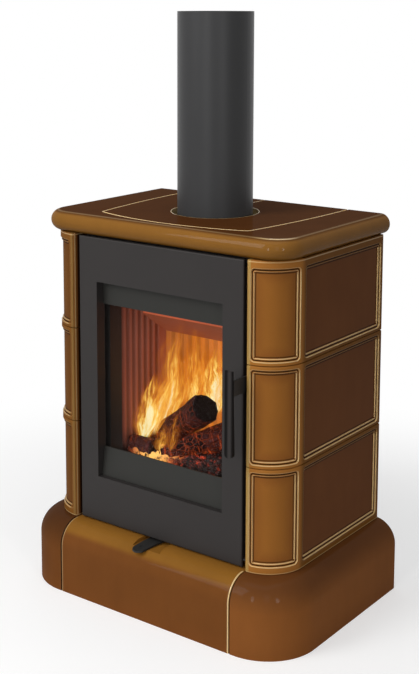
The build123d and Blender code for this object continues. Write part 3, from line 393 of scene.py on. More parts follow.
def tile_outline(finish, row, low, high):
    """Distance outwards from the outer steps of a tile's two panels, the height of their top, and
    where the side begins, as a place and as a mask."""
    glaze = bpy.context.scene.stove_glaze
    bottom = low.z + (glaze.plinth_rim if row == "lower" else glaze.joint_rim)
    top = high.z - (glaze.crown_rim if row == "upper" else glaze.joint_rim)
    radius = glaze.corner_radius
    corner_x = high.x - radius
    corner_y = low.y + radius
    angle = finish.add("ShaderNodeMath", {"operation": "ARCTAN2"},
                       [abs(finish.x) - corner_x, corner_y - finish.y])
    first = math.asin((low.x + glaze.rim - corner_x) / radius) * radius
    last = glaze.split_angle * radius
    on_side = finish.y.rise(corner_y - 0.4 * MM, corner_y)
    corner_panel = rounded_outline(
        angle * radius, finish.z, (first, bottom), (last, top), glaze.panel_corner)
    side_panel = rounded_outline(
        finish.y, finish.z, (corner_y, bottom), (high.y - glaze.rim, top), glaze.panel_corner)
    return side_panel * on_side + corner_panel * (1 - on_side), top, corner_y, on_side


def glaze_tile_row(row):
    """Glaze of one row: pale lines on the steps of the panels, a gold edge beside the door, and
    painted shade on the left half, on the side, towards the panels' edges, on the flank beside the
    door and at the joints.
    """
    glaze = bpy.context.scene.stove_glaze
    name = f"tile_right_{row}"
    low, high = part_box(name)
    finish = Finish(f"glazed_{row}_row")
    outline, top, corner_y, on_side = tile_outline(finish, row, low, high)
    from_foot = finish.z - low.z
    from_crown = high.z - finish.z
    left = left_half(finish)
    inward = abs(finish.x) - low.x
    depth = finish.y - low.y
    face = inward.rise(*BESIDE_DOOR)
    front = 1 - finish.y.rise(corner_y - 30 * MM, corner_y)
    flank = (1 - inward.rise(*FLANK_EDGE)) * front

    inside = 1 - outline.rise(-glaze.ledge - 1 * MM, -glaze.ledge)
    # painted shade towards the edges of a panel, in the deep glaze colour
    soft = outline.rise(*PANEL_SHADING) * 0.45
    # painted shade on the side: a darker panel glaze, and rims at half brightness
    panel = finish.mix(on_side, finish.mix(soft, glaze.panel, glaze.deep), glaze.side_panel)
    side_shade = finish.y.rise(corner_y - 14 * MM, corner_y + 2 * MM)
    tint = finish.mix(inside, finish.scaled(glaze.rim_glaze, 1 - side_shade * 0.50), panel)
    # painted shade dims the gold edge and darkens the whole glaze on the left half
    gold = inward.rise(*GOLD_START) * (1 - inward.rise(*GOLD_END)) * front * (
        1 - left * LEFT_GOLD_SHADE)
    tint = finish.scaled(finish.mix(gold, tint, glaze.gold), 1 - left * LEFT_SHADE)
    # painted shade on the flank beside the door, in the deep glaze colour
    tint = finish.mix(flank * 0.75, tint, glaze.deep)

    # the left column shows its inner upright only edge on, and the upper lines lie in shade
    away = left * front * (1 - inward.rise(*AWAY_EDGE)) * 0.75
    shaded = finish.z.rise(top - 11 * MM, top - 9 * MM) * (0.35 + on_side * 0.40)
    shaded = shaded.most(on_side * (1 - finish.y.rise(corner_y + 7 * MM, corner_y + 9 * MM)) * 0.6)
    line = outline.band(0.0, *PALE_LINE).most(outline.band(-glaze.ledge, *PALE_LINE))
    # painted shade also dims the pale lines on the left half
    line = line * face * (1 - away) * (1 - left * LEFT_LINE_SHADE) * (1 - shaded)
    relief = outline.rise(*STEP_RELIEF)
    relief = (relief + outline.rise(*(edge - glaze.ledge for edge in STEP_RELIEF))) * face
    if row == "lower":
        line = line.most(from_foot.band(*FOOT_LINE) * 0.5)
    if row == "upper":
        line = line.most(from_crown.band(*CROWN_LINE) * 0.5)
        relief = relief + from_crown.rise(*CROWN_RELIEF) * 2.0
    line = line.most(depth.band(*LIP_LINE) * flank * 0.45)

    crease = outline.band(-glaze.ledge / 2, *STEP_CREASE)
    crease = crease.most(outline.band(-glaze.ledge - PANEL_CREASE_INSET, *PANEL_CREASE) * 0.75)
    # painted shade at the tile's top and bottom joints and deeper in the flank beside the door,
    # added to the dark creases of the glaze
    ends = (1 - from_foot.rise(*TILE_END)).most(1 - from_crown.rise(*TILE_END))
    dark = (crease * face * (1 - away)).most(ends * 0.14).most(flank * depth.rise(*FLANK_SHADE))
    return glaze_sheen(finish, tint, line, dark, 0.07 + gold * 0.08, relief)


def glaze_base():
    """Glaze of the base: amber on the bullnose, deeper below, pale at the joints, and painted shade
    on the left half.
    """
    glaze = bpy.context.scene.stove_glaze
    finish = Finish("glazed_base")
    left = left_half(finish)
    joint = abs(finish.x) - glaze.joint_x
    front_tile = 1 - joint.rise(-0.2 * MM, 0.2 * MM)
    upper = finish.z.rise(BASE_HIGH.z - 60 * MM, BASE_HIGH.z - 8 * MM)
    crown = finish.z.rise(BASE_HIGH.z - 24 * MM, BASE_HIGH.z - 12 * MM)
    foot = 1 - finish.z.rise(0.0, 45 * MM)
    corner = finish.mix(upper * 0.80, glaze.plinth, glaze.plate)
    # painted shade: the left side tile of the base is darker than the right one
    corner = finish.scaled(corner, 1.20 - left * LEFT_SHADE)
    middle = finish.scaled(finish.mix(crown, glaze.plinth, glaze.amber), 0.84 + crown * 0.22)
    tint = finish.mix(foot * 0.40, finish.mix(front_tile, corner, middle), glaze.deep)
    front = 1 - finish.y.rise(BASE_LOW.y + 46 * MM, BASE_LOW.y + 50 * MM)
    # painted shade dims the pale joint line on the left half
    line = joint.band(*BASE_LINE) * front * (0.95 - left * 0.60)
    return glaze_sheen(finish, tint, line, joint.band(*BASE_SEAM) * front, 0.07)


def plate_edge(finish, top):
    """1 on the sides of a piece of the top plate and 0 on its flat."""
    return 1 - (finish.z - top).rise(-0.30 * MM, -0.10 * MM)


def glaze_plate_border():
    """Glaze of the border of the top plate: a dark flat, an amber round edge, a pale joint, a
    painted highlight along its top edge and painted shade on its underside.
    """
    glaze = bpy.context.scene.stove_glaze
    finish = Finish("glazed_plate_border")
    flat = finish.z.rise(TOP_HIGH.z - 6 * MM, TOP_HIGH.z - 0.3 * MM)
    tint = finish.mix(flat, glaze.amber, glaze.plate)
    inner = 1 - abs(finish.x).rise(INSET_HIGH.x + 8 * MM, INSET_HIGH.x + 9 * MM)
    inner = inner * finish.y.rise(INSET_LOW.y - 5 * MM, INSET_LOW.y - 4 * MM)
    # painted highlight along the top edge of the round, strongest at the front right corner
    highlight_corner = finish.x.rise(TOP_HIGH.x - 90 * MM, TOP_HIGH.x - 40 * MM)
    highlight_corner = highlight_corner * (1 - finish.y.rise(TOP_LOW.y + 25 * MM, TOP_LOW.y + 70 * MM))
    painted_highlight = (finish.z - TOP_HIGH.z).band(*HIGHLIGHT_LINE) * (1 - inner) * (0.16 + highlight_corner * 0.6)
    line = (inner * plate_edge(finish, TOP_HIGH.z)).most(painted_highlight)
    # painted shade on the underside of the plate
    under = 1 - finish.z.rise(TOP_LOW.z, TOP_LOW.z + 7 * MM)
    return glaze_sheen(finish, tint, line, under * 0.6, 0.16 - flat * 0.14)


def glaze_plate_inset():
    """Glaze of the inner plate: a dark flat with pale edges at the joint, the hole and the slit."""
    glaze = bpy.context.scene.stove_glaze
    finish = Finish("glazed_plate_inset")
    middle_y = (PIPE_LOW.y + PIPE_HIGH.y) / 2
    edge = plate_edge(finish, INSET_HIGH.z)
    lit = edge * finish.z.rise(INSET_HIGH.z - 3.5 * MM, INSET_HIGH.z - 2.5 * MM)
    reach = (finish.x ** 2 + (finish.y - middle_y) ** 2).root()
    hole = 1 - (reach - glaze.hole_radius).rise(0.8 * MM, 1.5 * MM)
    slit = (1 - abs(finish.x).rise(1.2 * MM, 2.0 * MM)) * finish.y.rise(middle_y, middle_y + 1 * MM)
    tint = finish.mix(edge, glaze.plate, glaze.amber)
    return glaze_sheen(finish, tint, lit.most(hole).most(slit), 0.0, 0.02)


class STOVE_OT_glaze_tiles(bpy.types.Operator):
    """Glaze the base, the three rows of tiles and the top plate"""

    bl_idname = "stove.glaze_tiles"
    bl_label = "Glaze the tiles"

    def execute(self, context):
        for row in ROWS:
            give(glaze_tile_row(row), f"tile_right_{row}", f"tile_left_{row}")
        give(glaze_base(), "base_tile_front", "base_tile_left", "base_tile_right")
        give(glaze_plate_border(), "top_border")
        give(glaze_plate_inset(), "top_inset")
        return {"FINISHED"}


# ------------------------------------------------------------------ steel
PAINT_GRAIN = 1400.0


def paint_steel(name, tint, roughness, grain=1.0):
    """Heat-proof spray paint: a fine grain, faint clouds and slightly rubbed high spots."""
    finish = Finish(name)
    cloud = finish.noise(7.0, 4.0, 0.6)
    fleck = finish.noise(PAINT_GRAIN, 2.0, 0.7)
    toned = finish.scaled(tint, 0.88 + cloud * 0.24)
    toned = finish.scaled(toned, 0.90 + fleck * 0.20)
    return finish.surface({
        "Base Color": toned,
        "Roughness": roughness - 0.06 + cloud * 0.12,
        "Normal": finish.bump(fleck, 0.00012 * grain, 0.6),
        "Specular IOR Level": 0.22,
    })


def bar_with_painted_shading():
    """The handle bar: a painted highlight along its rounded front and painted shade on its flanks.
    """
    steel = bpy.context.scene.stove_steel
    finish = Finish("handle_bar_painted_shading")
    width = BAR_HIGH.x - BAR_LOW.x
    middle = (BAR_LOW.x + BAR_HIGH.x) / 2 + 0.12 * width
    # painted highlight along the front of the bar, set off its middle, and painted shade on its
    # flanks
    front = 1 - abs(finish.x - middle).rise(0.05 * width, 0.38 * width)
    fleck = finish.noise(PAINT_GRAIN, 2.0, 0.7)
    return finish.surface({
        "Base Color": finish.scaled(steel.paint, 0.16 + front * 1.30 + fleck * 0.16),
        "Roughness": 0.55 - fleck * 0.08,
        "Normal": finish.bump(fleck, 0.0001, 0.5),
        "Specular IOR Level": 0.06,
    })


def brush_steel(name, tint, roughness):
    """Rolled or turned steel with fine scratches."""
    finish = Finish(name)
    cloud = finish.noise(25.0, 4.0, 0.6)
    scratch = finish.noise(300.0, 3.0, 0.6, finish.stretched(1.0, 1.0, 0.08))
    return finish.surface({
        "Base Color": finish.scaled(tint, 0.80 + cloud * 0.25 + scratch * 0.15),
        "Metallic": 1.0,
        "Roughness": roughness + scratch * 0.18,
        "Normal": finish.bump(scratch, 0.00008, 0.5),
    })


def spangle_zinc():
    """Zinc-coated sheet with the crystals of its coating."""
    finish = Finish("zinc_sheet")
    crystal = finish.add("ShaderNodeTexVoronoi", {}, {"Vector": finish.place, "Scale": 90.0},
                         output="Color")
    shade = finish.parts(crystal)[0]
    cloud = finish.noise(12.0, 4.0, 0.6)
    zinc = bpy.context.scene.stove_steel.zinc
    return finish.surface({
        "Base Color": finish.scaled(zinc, 0.78 + shade * 0.22 + cloud * 0.12),
        "Metallic": 1.0,
        "Roughness": 0.34 + shade * 0.14,
    })


class STOVE_OT_paint_steel(bpy.types.Operator):
    """Paint the door, the handle, the pipe and the frame, and finish the bare steel"""

    bl_idname = "stove.paint_steel"
    bl_label = "Finish the steel"

    def execute(self, context):
        steel = context.scene.stove_steel
        give(paint_steel("door_paint", steel.paint, 0.46), "door_leaf", "front_frame",
             "hinge_plates", "latch_keeper", "plinth_frame", "top_carrier")
        give(paint_steel("handle_paint", steel.soot, 0.45), "handle_arm", "air_lever")
        give(bar_with_painted_shading(), "handle_bar")
        give(paint_steel("recess_paint", steel.shade, 0.50), "door_head", "door_sill")
        give(paint_steel("pipe_paint", steel.pipe, 0.42), "flue_pipe", "flue_collar")
        give(paint_steel("sooty_steel", steel.soot, 0.75, 4.0), "firebox_shell", "hearth_plate",
             "air_box", "shutter_rails", "baffle_ledges", "baffle_upper", "ash_pan", "glass_clips")
        give(spangle_zinc(), "rear_shield", "shield_spacers", "tile_clips", "air_shutter")
        give(brush_steel("fastener_steel", steel.bare, 0.30), "shield_screws", "glass_screws",
             "collar_bolts", "foot_nuts", "levelling_feet", "lever_bolt", "hinge_pins",
             "hinge_washer", "handle_pivot")
        give(paint_steel("grate_iron", steel.shade, 0.70, 9.0), "grate")
        return {"FINISHED"}


# ------------------------------------------------------------------ window and seals
def clear_glass():
    """Heat-proof glass with a faint smoky film towards its edges."""
    finish = Finish("window_glass")
    low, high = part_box("door_glass")
    side = (abs(finish.x) - (high.x - 45 * MM)).rise(0.0, 45 * MM)
    foot = 1 - (finish.z - low.z).rise(0.0, 60 * MM)
    film = side.most(foot) * finish.noise(22.0, 4.0, 0.6)
    return finish.surface({
        "Base Color": (0.035, 0.030, 0.026),
        "Roughness": 0.04,
        "Alpha": 0.03 + film * 0.14,
        "IOR": 1.47,
    })


def braid_rope():
    """Braided glass-fibre rope."""
    finish = Finish("braided_rope")
    run = finish.x + finish.z
    cross = finish.x - finish.z + finish.y * 2
    pitch = 1500.0
    strand = (run * pitch).wave() * (cross * pitch).wave()
    fuzz = finish.noise(1200.0, 3.0, 0.7)
    fibre = (0.055, 0.053, 0.050)
    return finish.surface({
        "Base Color": finish.scaled(fibre, 0.55 + strand.rise(-1.0, 1.0) * 0.6 + fuzz * 0.3),
        "Roughness": 0.95,
        "Normal": finish.bump(strand + fuzz * 0.5, 0.0005, 0.9),
    })


class STOVE_OT_fit_window(bpy.types.Operator):
    """Finish the window glass and the rope seals"""

    bl_idname = "stove.fit_window"
    bl_label = "Fit the window"

    def execute(self, context):
        give(clear_glass(), "door_glass")
        give(braid_rope(), "door_gasket", "glass_gasket", "tile_seals")
        return {"FINISHED"}


# ------------------------------------------------------------------ firebox lining
FLUTE_DEPTH = (0.4 * MM, 4.6 * MM)


def nowhere(finish):
    """No flutes, or no glow."""
    return 0.0


def fire_clay(name, flute, glow, level):
    """Pressed fire clay: sand grains, painted shade in the flutes, soot at the foot and painted
    firelight.
    """
    fire = bpy.context.scene.stove_fire
    finish = Finish(name)
    grain = finish.noise(420.0, 4.0, 0.7)
    cloud = finish.noise(14.0, 5.0, 0.6)
    groove = flute(finish)
    foot = (finish.z + (cloud - 0.5) * 0.05).rise(
        BRICK_HIGH.z - 10 * MM, BRICK_HIGH.z + 45 * MM)
    burnt = finish.mix(foot, fire.char, fire.clay)
    # painted shade in the flutes, with the sand grain
    shade = (1 - groove * 0.48) * (0.86 + grain * 0.28)
    # painted firelight on the clay, weaker in the flutes
    heat_and_painted_firelight = level(finish) * foot * (0.62 + cloud * 0.76) * shade
    return finish.surface({
        "Base Color": finish.scaled(burnt, shade),
        "Roughness": 0.92,
        "Emission Color": finish.scaled(glow, heat_and_painted_firelight),
        "Emission Strength": 1.0,
        "Normal": finish.bump(grain, 0.0006, 0.7),
    })


def side_lining():
    """The side linings: painted shade in the flutes and painted firelight, redder and darker
    towards the door.
    """
    fire = bpy.context.scene.stove_fire
    return fire_clay(
        "side_lining",
        lambda finish: (abs(finish.x) - SIDE_FACE).rise(*FLUTE_DEPTH),
        fire.side_firelight,
        lambda finish: (0.70 + finish.y.rise(-90 * MM, -50 * MM) * 0.35) * (
            1.12 - finish.z.rise(0.40, 0.64) * 0.45))


def back_lining():
    """The back lining: painted firelight, bright behind the flames and darker where it meets the
    sides, and painted shade in its flutes.
    """
    fire = bpy.context.scene.stove_fire
    return fire_clay(
        "back_lining",
        lambda finish: (finish.y - BACK_FACE).rise(*FLUTE_DEPTH) * 0.6,
        fire.back_firelight,
        lambda finish: (0.55 + (1 - abs(finish.x - 20 * MM).rise(60 * MM, 190 * MM)) * 0.5) * (
            1 - finish.z.rise(BAFFLE_HIGH.z - 40 * MM, BAFFLE_HIGH.z) * 0.88))


def baffle_clay():
    """The lower baffle: painted firelight, bright on its front edge and dull red on its underside.
    """
    fire = bpy.context.scene.stove_fire
    return fire_clay(
        "baffle_clay",
        nowhere,
        fire.baffle_firelight,
        lambda finish: 0.85 + (1 - finish.y.rise(BAFFLE_LOW.y, BAFFLE_LOW.y + 2.5 * MM)) * 1.9)


def hearth_clay():
    """The bricks under the fire, black with soot."""
    return fire_clay("hearth_clay", nowhere, (0.0, 0.0, 0.0), nowhere)


class STOVE_OT_line_firebox(bpy.types.Operator):
    """Finish the linings, the bricks and the lower baffle"""

    bl_idname = "stove.line_firebox"
    bl_label = "Line the firebox"

    def execute(self, context):
        give(side_lining(), "lining_left", "lining_right")
        give(back_lining(), "lining_back")
        give(baffle_clay(), "baffle_lower")
        give(hearth_clay(), "hearth_bricks")
        return {"FINISHED"}


# ------------------------------------------------------------------ logs, embers and flames
# place of the low end from the middle of the hearth and above the bricks, turn about Z, lift,
# length, radius at each end and turn of the section, in millimetres and degrees, and warmth
LOGS = {
    "log_small": dict(x=-147.0, y=-50.0, z=17.7, heading=-4.0, lift=2.0, length=62.0,
                      low_radius=19.0, high_radius=20.0, turn=30.0, warmth=0.06),
    "log_front": dict(x=-66.0, y=-57.0, z=11.7, heading=39.0, lift=15.0, length=178.7,
                      low_radius=15.0, high_radius=37.0, turn=70.0, warmth=0.12),
    "log_upper": dict(x=-111.0, y=11.0, z=20.4, heading=-14.0, lift=35.1, length=162.0,
                      low_radius=29.0, high_radius=34.0, turn=12.0, warmth=0.04),
}
# a log's skin: height of its coarse and its fine relief, how far it lies inside the solid, and how
# far its ends are ragged
SKIN_COARSE, SKIN_FINE, SKIN_INSET, END_RAGGED = 2.6 * MM, 1.2 * MM, 1.6 * MM, 2.4 * MM
END_BEVEL = 0.12        # share of the low end's radius
CUTS_AROUND, CUTS_ALONG = 3, 12
# section of a log: angle in degrees and share of its radius
LOG_OUTLINE = ((0, 1.0), (48, 0.93), (95, 1.0), (140, 0.9),
               (185, 0.98), (235, 0.92), (290, 0.97), (325, 0.93))
HEARTH_Y = (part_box("grate")[0].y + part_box("grate")[1].y) / 2


def log_frame(log):
    """Where a log's own axes lie: X along the log from its low end."""
    origin = Vector((log["x"] * MM, HEARTH_Y + log["y"] * MM, BRICK_HIGH.z + log["z"] * MM))
    return origin, (0.0, -math.radians(log["lift"]), math.radians(log["heading"]))


def burning_wood(name, log):
    """Split wood, dark red where it is whole, charred into blocks, with embers in the cracks."""
    fire = bpy.context.scene.stove_fire
    finish = Finish(f"burning_{name}")
    origin, turn = log_frame(log)
    own = finish.add("ShaderNodeMapping", {"vector_type": "TEXTURE"}, {
        "Vector": finish.place, "Location": origin, "Rotation": turn})
    along, _, _ = finish.parts(own)
    length = log["length"] * MM
    warmth = log["warmth"]
    squeezed = finish.stretched(0.16, 1.0, 1.0, own)
    blocky = finish.stretched(0.75, 1.0, 1.0, own)
    fibre = finish.noise(150.0, 5.0, 0.65, squeezed)
    cracks = finish.cracks(95.0, blocky)
    cloud = finish.noise(17.0, 4.0, 0.6)
    charred = (cloud + fibre * 0.25).rise(0.52, 0.72)
    ends = (along - length + 5 * MM).rise(0.0, 4 * MM).most(1 - along.rise(2 * MM, 6 * MM))
    wood = finish.scaled(fire.bark, 0.30 + fibre * 1.5)
    coal = finish.scaled(fire.char, 0.4 + fibre * 1.4)
    open_crack = 1 - cracks.rise(0.0, 0.085)
    ribbed = finish.stretched(1.0, 0.16, 0.16, own)
    rib = finish.noise(170.0, 3.0, 0.6, ribbed)
    hot = (open_crack * 0.22).most(rib.rise(0.54, 0.72) * 0.5)
    hot = hot * (cloud + warmth).rise(0.46, 0.70) * (1 - ends)
    underside = 1 - finish.z.rise(BRICK_HIGH.z + 6 * MM, BRICK_HIGH.z + 40 * MM)
    underside = underside * finish.noise(60.0).rise(0.42, 0.62)
    hot = hot.most(underside * warmth * 0.6)
    return finish.surface({
        "Base Color": finish.mix(charred.most(ends).most(open_crack * 0.8), wood, coal),
        "Roughness": 0.85,
        "Specular IOR Level": 0.15,
        "Emission Color": finish.mix(hot, (0.0, 0.0, 0.0), fire.glow),
        "Emission Strength": 0.9,
        "Normal": finish.bump(fibre * 0.8 + cracks.rise(0.0, 0.16), 0.0026, 1.0),
    })


def split_log(name, log, seed, material):
    """A split log: a tapered billet with a rough skin and ragged ends, within its solid."""
    length = log["length"] * MM
    low_radius = log["low_radius"] * MM
    high_radius = log["high_radius"] * MM
    origin, angles = log_frame(log)
    count = len(LOG_OUTLINE)
    bm = bmesh.new()
    bmesh.ops.create_cone(bm, cap_ends=True, cap_tris=False, segments=count, radius1=low_radius,
                          radius2=high_radius, depth=length)
    for v in bm.verts:
        share = math.atan2(-v.co.x, v.co.y) % math.tau / math.tau * count
        angle, size = LOG_OUTLINE[int(share + 0.01) % count]
        radius = (low_radius if v.co.z < 0 else high_radius) * size
        angle = math.radians(angle + log["turn"])
        v.co.x = -radius * math.sin(angle)
        v.co.y = radius * math.cos(angle)
    rims = [e for e in bm.edges if e.verts[0].co.z * e.verts[1].co.z > 0]
    bmesh.ops.bevel(bm, geom=rims, affect="EDGES", offset=END_BEVEL * low_radius, segments=2,
                    profile=0.5, material=-1)
    bmesh.ops.triangulate(bm, faces=[f for f in bm.faces if len(f.verts) > 4])
    bmesh.ops.subdivide_edges(bm, edges=bm.edges[:], cuts=CUTS_AROUND, use_grid_fill=True)
    long_edges = [e for e in bm.edges if abs(e.verts[0].co.z - e.verts[1].co.z) > length / 10]
    bmesh.ops.subdivide_edges(bm, edges=long_edges, cuts=CUTS_ALONG, use_grid_fill=True)
    for v in bm.verts:
        outward = Vector((v.co.x, v.co.y, 0.0))
        along = Vector((v.co.x, v.co.y, v.co.z * 0.35))
        skin = rough(along, 50.0, seed) * SKIN_COARSE + rough(along, 150.0, seed) * SKIN_FINE
        if outward.length > 1e-5:
            v.co += outward.normalized() * (skin - SKIN_INSET)
        v.co.z += rough(v.co, 70.0, seed + 5) * END_RAGGED
    upright = Matrix.Rotation(math.radians(90), 4, "Y") @ Matrix.Translation((0.0, 0.0, length / 2))
    lying = Matrix.Rotation(angles[2], 4, "Z") @ Matrix.Rotation(angles[1], 4, "Y")
    bm.transform(Matrix.Translation(origin) @ lying @ upright)
    bmesh.ops.recalc_face_normals(bm, faces=bm.faces[:])
    return make_piece(name, bm, material, "stove")


class STOVE_OT_lay_logs(bpy.types.Operator):
    """Lay the burning logs on the bricks"""

    bl_idname = "stove.lay_logs"
    bl_label = "Lay the logs"

    def execute(self, context):
        for seed, (name, log) in enumerate(LOGS.items(), 1):
            piece = split_log(name, log, float(seed), burning_wood(name, log))
            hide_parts("fire_logs")
        return {"FINISHED"}


def glowing_coals():
    """Coals that are black with ash on top, red between, and yellow under the left flames."""
    finish = Finish("glowing_coals")
    spots = finish.noise(70.0, 4.0, 0.65)
    veins = 1 - finish.cracks(130.0).rise(0.0, 0.10)
    hottest = Vector((-80 * MM, -58 * MM))
    reach = ((finish.x - hottest.x) ** 2 + (finish.y - hottest.y) ** 2).root()
    core = 1 - reach.rise(15 * MM, 75 * MM)
    near = 1 - reach.rise(55 * MM, 140 * MM)
    hot = spots.rise(0.54, 0.72).most(veins * spots.rise(0.46, 0.62) * 0.6) * (0.22 + near * 0.6)
    hot = hot.most(core * spots.rise(0.34, 0.52))
    tint = finish.mix(core, (0.75, 0.055, 0.008), (1.0, 0.50, 0.12))
    return finish.surface({
        "Base Color": finish.mix(spots, bpy.context.scene.stove_fire.char, (0.045, 0.025, 0.022)),
        "Roughness": 0.95,
        "Emission Color": finish.mix(hot, (0.0, 0.0, 0.0), tint),
        "Emission Strength": 1.5,
        "Normal": finish.bump(spots + veins * 0.5, 0.002, 0.8),
    })


class STOVE_OT_heap_embers(bpy.types.Operator):
    """Heap glowing coals under and between the logs"""

    bl_idname = "stove.heap_embers"
    bl_label = "Heap the embers"

    def execute(self, context):
        rows = 9
        columns = 20
        scatter = 0.6   # share of a coal's cell
        showing = 0.62  # share of a coal's radius that is above the bricks
        half_x = 150 * MM
        low_y = BRICK_LOW.y + 8 * MM
        high_y = BRICK_HIGH.y - 12 * MM
        bm = bmesh.new()
        for row in range(rows):
            for column in range(columns):
                seed = row * columns + column
                cell = Vector((column + 0.5 * (row % 2), row, 0.0))
                jitter = Vector([rough(cell, 3.1, draw) for draw in (1.0, 2.0, 3.0)])
                x = -half_x + 2 * half_x * (column + 0.5 + jitter.x * scatter) / columns
                y = low_y + (high_y - low_y) * (row + 0.5 + jitter.y * scatter) / rows
                size = (8.0 + 4.0 * jitter.z) * MM
                made = bmesh.ops.create_icosphere(bm, subdivisions=2, radius=size)
                turn = Matrix.Rotation(seed * 1.3, 4, "Z") @ Matrix.Rotation(seed * 0.7, 4, "X")
                for v in made["verts"]:
                    v.co *= 1.0 + 0.35 * rough(v.co, 120.0, seed * 0.37)
                lift = Matrix.Translation((x, y, BRICK_HIGH.z + size * showing))
                bmesh.ops.transform(bm, matrix=lift @ turn, verts=made["verts"])
        make_piece("ember_heap", bm, glowing_coals(), "stove", smooth=False)
        return {"FINISHED"}


# heat and colour of a flame
FLAME_TINTS = (
    (0.0, (0.50, 0.06, 0.002)),
    (0.20, (0.72, 0.16, 0.010)),
    (0.42, (0.86, 0.34, 0.035)),
    (0.64, (0.98, 0.62, 0.13)),
    (0.90, (1.0, 0.88, 0.48)),
)


def flame_light():
    """Flame: pale yellow at the foot and in the body, orange towards a ragged edge and tip."""
    finish = Finish("flame")
    uv = finish.add("ShaderNodeUVMap", {"uv_map": "flame"}, output="UV")
    place, up, _ = finish.parts(uv)
    across = place.math("FRACT", place) * 2 - 1
    drawn = finish.add("ShaderNodeCombineXYZ", {}, [place, up, 0.0])
    warp = finish.noise(3.2, 3.0, 0.55, drawn)
    streak = finish.noise(7.0, 4.0, 0.6, finish.add(
        "ShaderNodeCombineXYZ", {}, [place * 2.2 + warp * 0.5, up * 0.55, 0.0]))
    offset = abs(across + (warp - 0.5) * (0.5 + up * 1.1))
    strength = finish.parts(finish.add("ShaderNodeUVMap", {"uv_map": "strength"}, output="UV"))[0]
    body = (1 - offset).most(0) * (1.02 - up).most(0) ** 0.6
    heat_and_painted_firelight = body * (streak * 2.7 - 0.34).most(0) * strength
    hue = finish.add("ShaderNodeValToRGB", {}, [heat_and_painted_firelight])
    ramp = hue.socket.node.color_ramp
    while len(ramp.elements) < len(FLAME_TINTS):
        ramp.elements.new(0.5)
    for element, (spot, tint) in zip(ramp.elements, FLAME_TINTS):
        element.position = spot
        element.color = tint + (1.0,)
    return finish.surface({
        "Base Color": (0.0, 0.0, 0.0),
        "Roughness": 1.0,
        "Specular IOR Level": 0.0,
        "Emission Color": hue,
        "Emission Strength": 1.15,
        "Alpha": heat_and_painted_firelight.rise(0.08, 0.68) * up.rise(0.0, 0.09) * 0.84,
    })


# foot and tip of each tongue and its width, in millimetres, and its strength
TONGUES = (
    ((-130, -40, 282), (-88, -30, 436), 44, 1.10),
    ((-122, -20, 289), (-78, -8, 482), 44, 0.80),
    ((-109, 0, 299), (-42, 8, 548), 64, 0.78),
    ((-103, 22, 308), (-70, 30, 500), 50, 0.55),
    ((-67, 30, 347), (-40, 36, 538), 48, 0.66),
    ((-47, 34, 371), (-44, 40, 462), 40, 0.65),
    ((-4, 30, 345), (5, 38, 494), 52, 1.05),
    ((62, 28, 338), (34, 34, 506), 52, 1.20),
    ((74, 30, 345), (60, 32, 462), 40, 1.05),
    ((-43, -62, 285), (-35, -52, 383), 27, 0.45),
    ((-101, -66, 267), (-86, -62, 316), 22, 0.45),
    ((-65, -66, 281), (-62, -60, 346), 24, 0.60),
)


# turn of the tongues about Z, close to the camera's, and how much it varies, in degrees
TONGUE_TURN, TONGUE_SPREAD = 37, 26


def flame_tongue(bm, uv_layers, index, share):
    """One tongue: an upright leaf that narrows to a point, curls and sways."""
    foot, tip, width, strength = share
    foot = Vector(foot) * MM
    rise = Vector(tip) * MM - foot
    made = bmesh.ops.create_grid(bm, x_segments=8, y_segments=32, size=0.5)
    faces = {f for v in made["verts"] for f in v.link_faces}
    margin = 0.002  # keeps each tongue's share of the map apart from the next
    for face in faces:
        for loop in face.loops:
            across = margin + (1 - 2 * margin) * (loop.vert.co.x + 0.5)
            loop[uv_layers[0]].uv = (index + across, loop.vert.co.y + 0.5)
            loop[uv_layers[1]].uv = (strength, 0.0)
    seed = index * 1.7 + 0.4
    turn = math.radians(TONGUE_TURN + TONGUE_SPREAD * math.sin(seed * 2.3))
    side = Vector((math.cos(turn), math.sin(turn), 0.0))
    ahead = Vector((-math.sin(turn), math.cos(turn), 0.0))
    for v in made["verts"]:
        across = 2 * v.co.x
        up = v.co.y + 0.5
        half = width * MM * (0.42 + 0.58 * math.sin(math.pi * min(1.0, 0.15 + 0.95 * up)) ** 0.8)
        half *= 0.45 + 0.55 * min(1.0, 4.0 * up)
        ripple = rough(Vector((up * 2.0, seed, 0.0)), 1.0, seed)
        sway = (math.sin(up * 5.0 + seed * 1.9) * 0.07 + ripple * 0.08) * up
        curl = 0.25 * half * (1 - across * across)
        v.co = foot + rise * up + side * (half * across + rise.length * sway) + ahead * curl


class STOVE_OT_light_flames(bpy.types.Operator):
    """Light the fire: tongues of flame among the logs"""

    bl_idname = "stove.light_flames"
    bl_label = "Light the flames"

    def execute(self, context):
        bm = bmesh.new()
        uv_layers = [bm.loops.layers.uv.new("flame"), bm.loops.layers.uv.new("strength")]
        for index, share in enumerate(TONGUES):
            flame_tongue(bm, uv_layers, index, share)
        make_piece("flame_tongues", bm, flame_light(), "stove")
        return {"FINISHED"}


# ------------------------------------------------------------------ stage
LIT_POINT = Vector((0.0, 0.0, 0.45))    # where the lamps point, in metres
FIRE_LIGHT = (1.0, 0.36, 0.09)


def softbox(name, azimuth, elevation, distance, size, power):
    """A soft rectangular lamp around the stove, by its direction from the lit point."""
    data = bpy.data.lights.new(name, "AREA")
    data.shape = "RECTANGLE"
    data.size, data.size_y = size
    data.energy = power
    lamp = bpy.data.objects.new(name, data)
    turn = math.radians(azimuth)
    rise = math.radians(elevation)
    lamp.location = LIT_POINT + distance * Vector((
        math.cos(rise) * math.sin(turn), -math.cos(rise) * math.cos(turn), math.sin(rise)))
    lamp.rotation_euler = (LIT_POINT - lamp.location).to_track_quat("-Z", "Y").to_euler()
    bpy.context.scene.collection.objects.link(lamp)


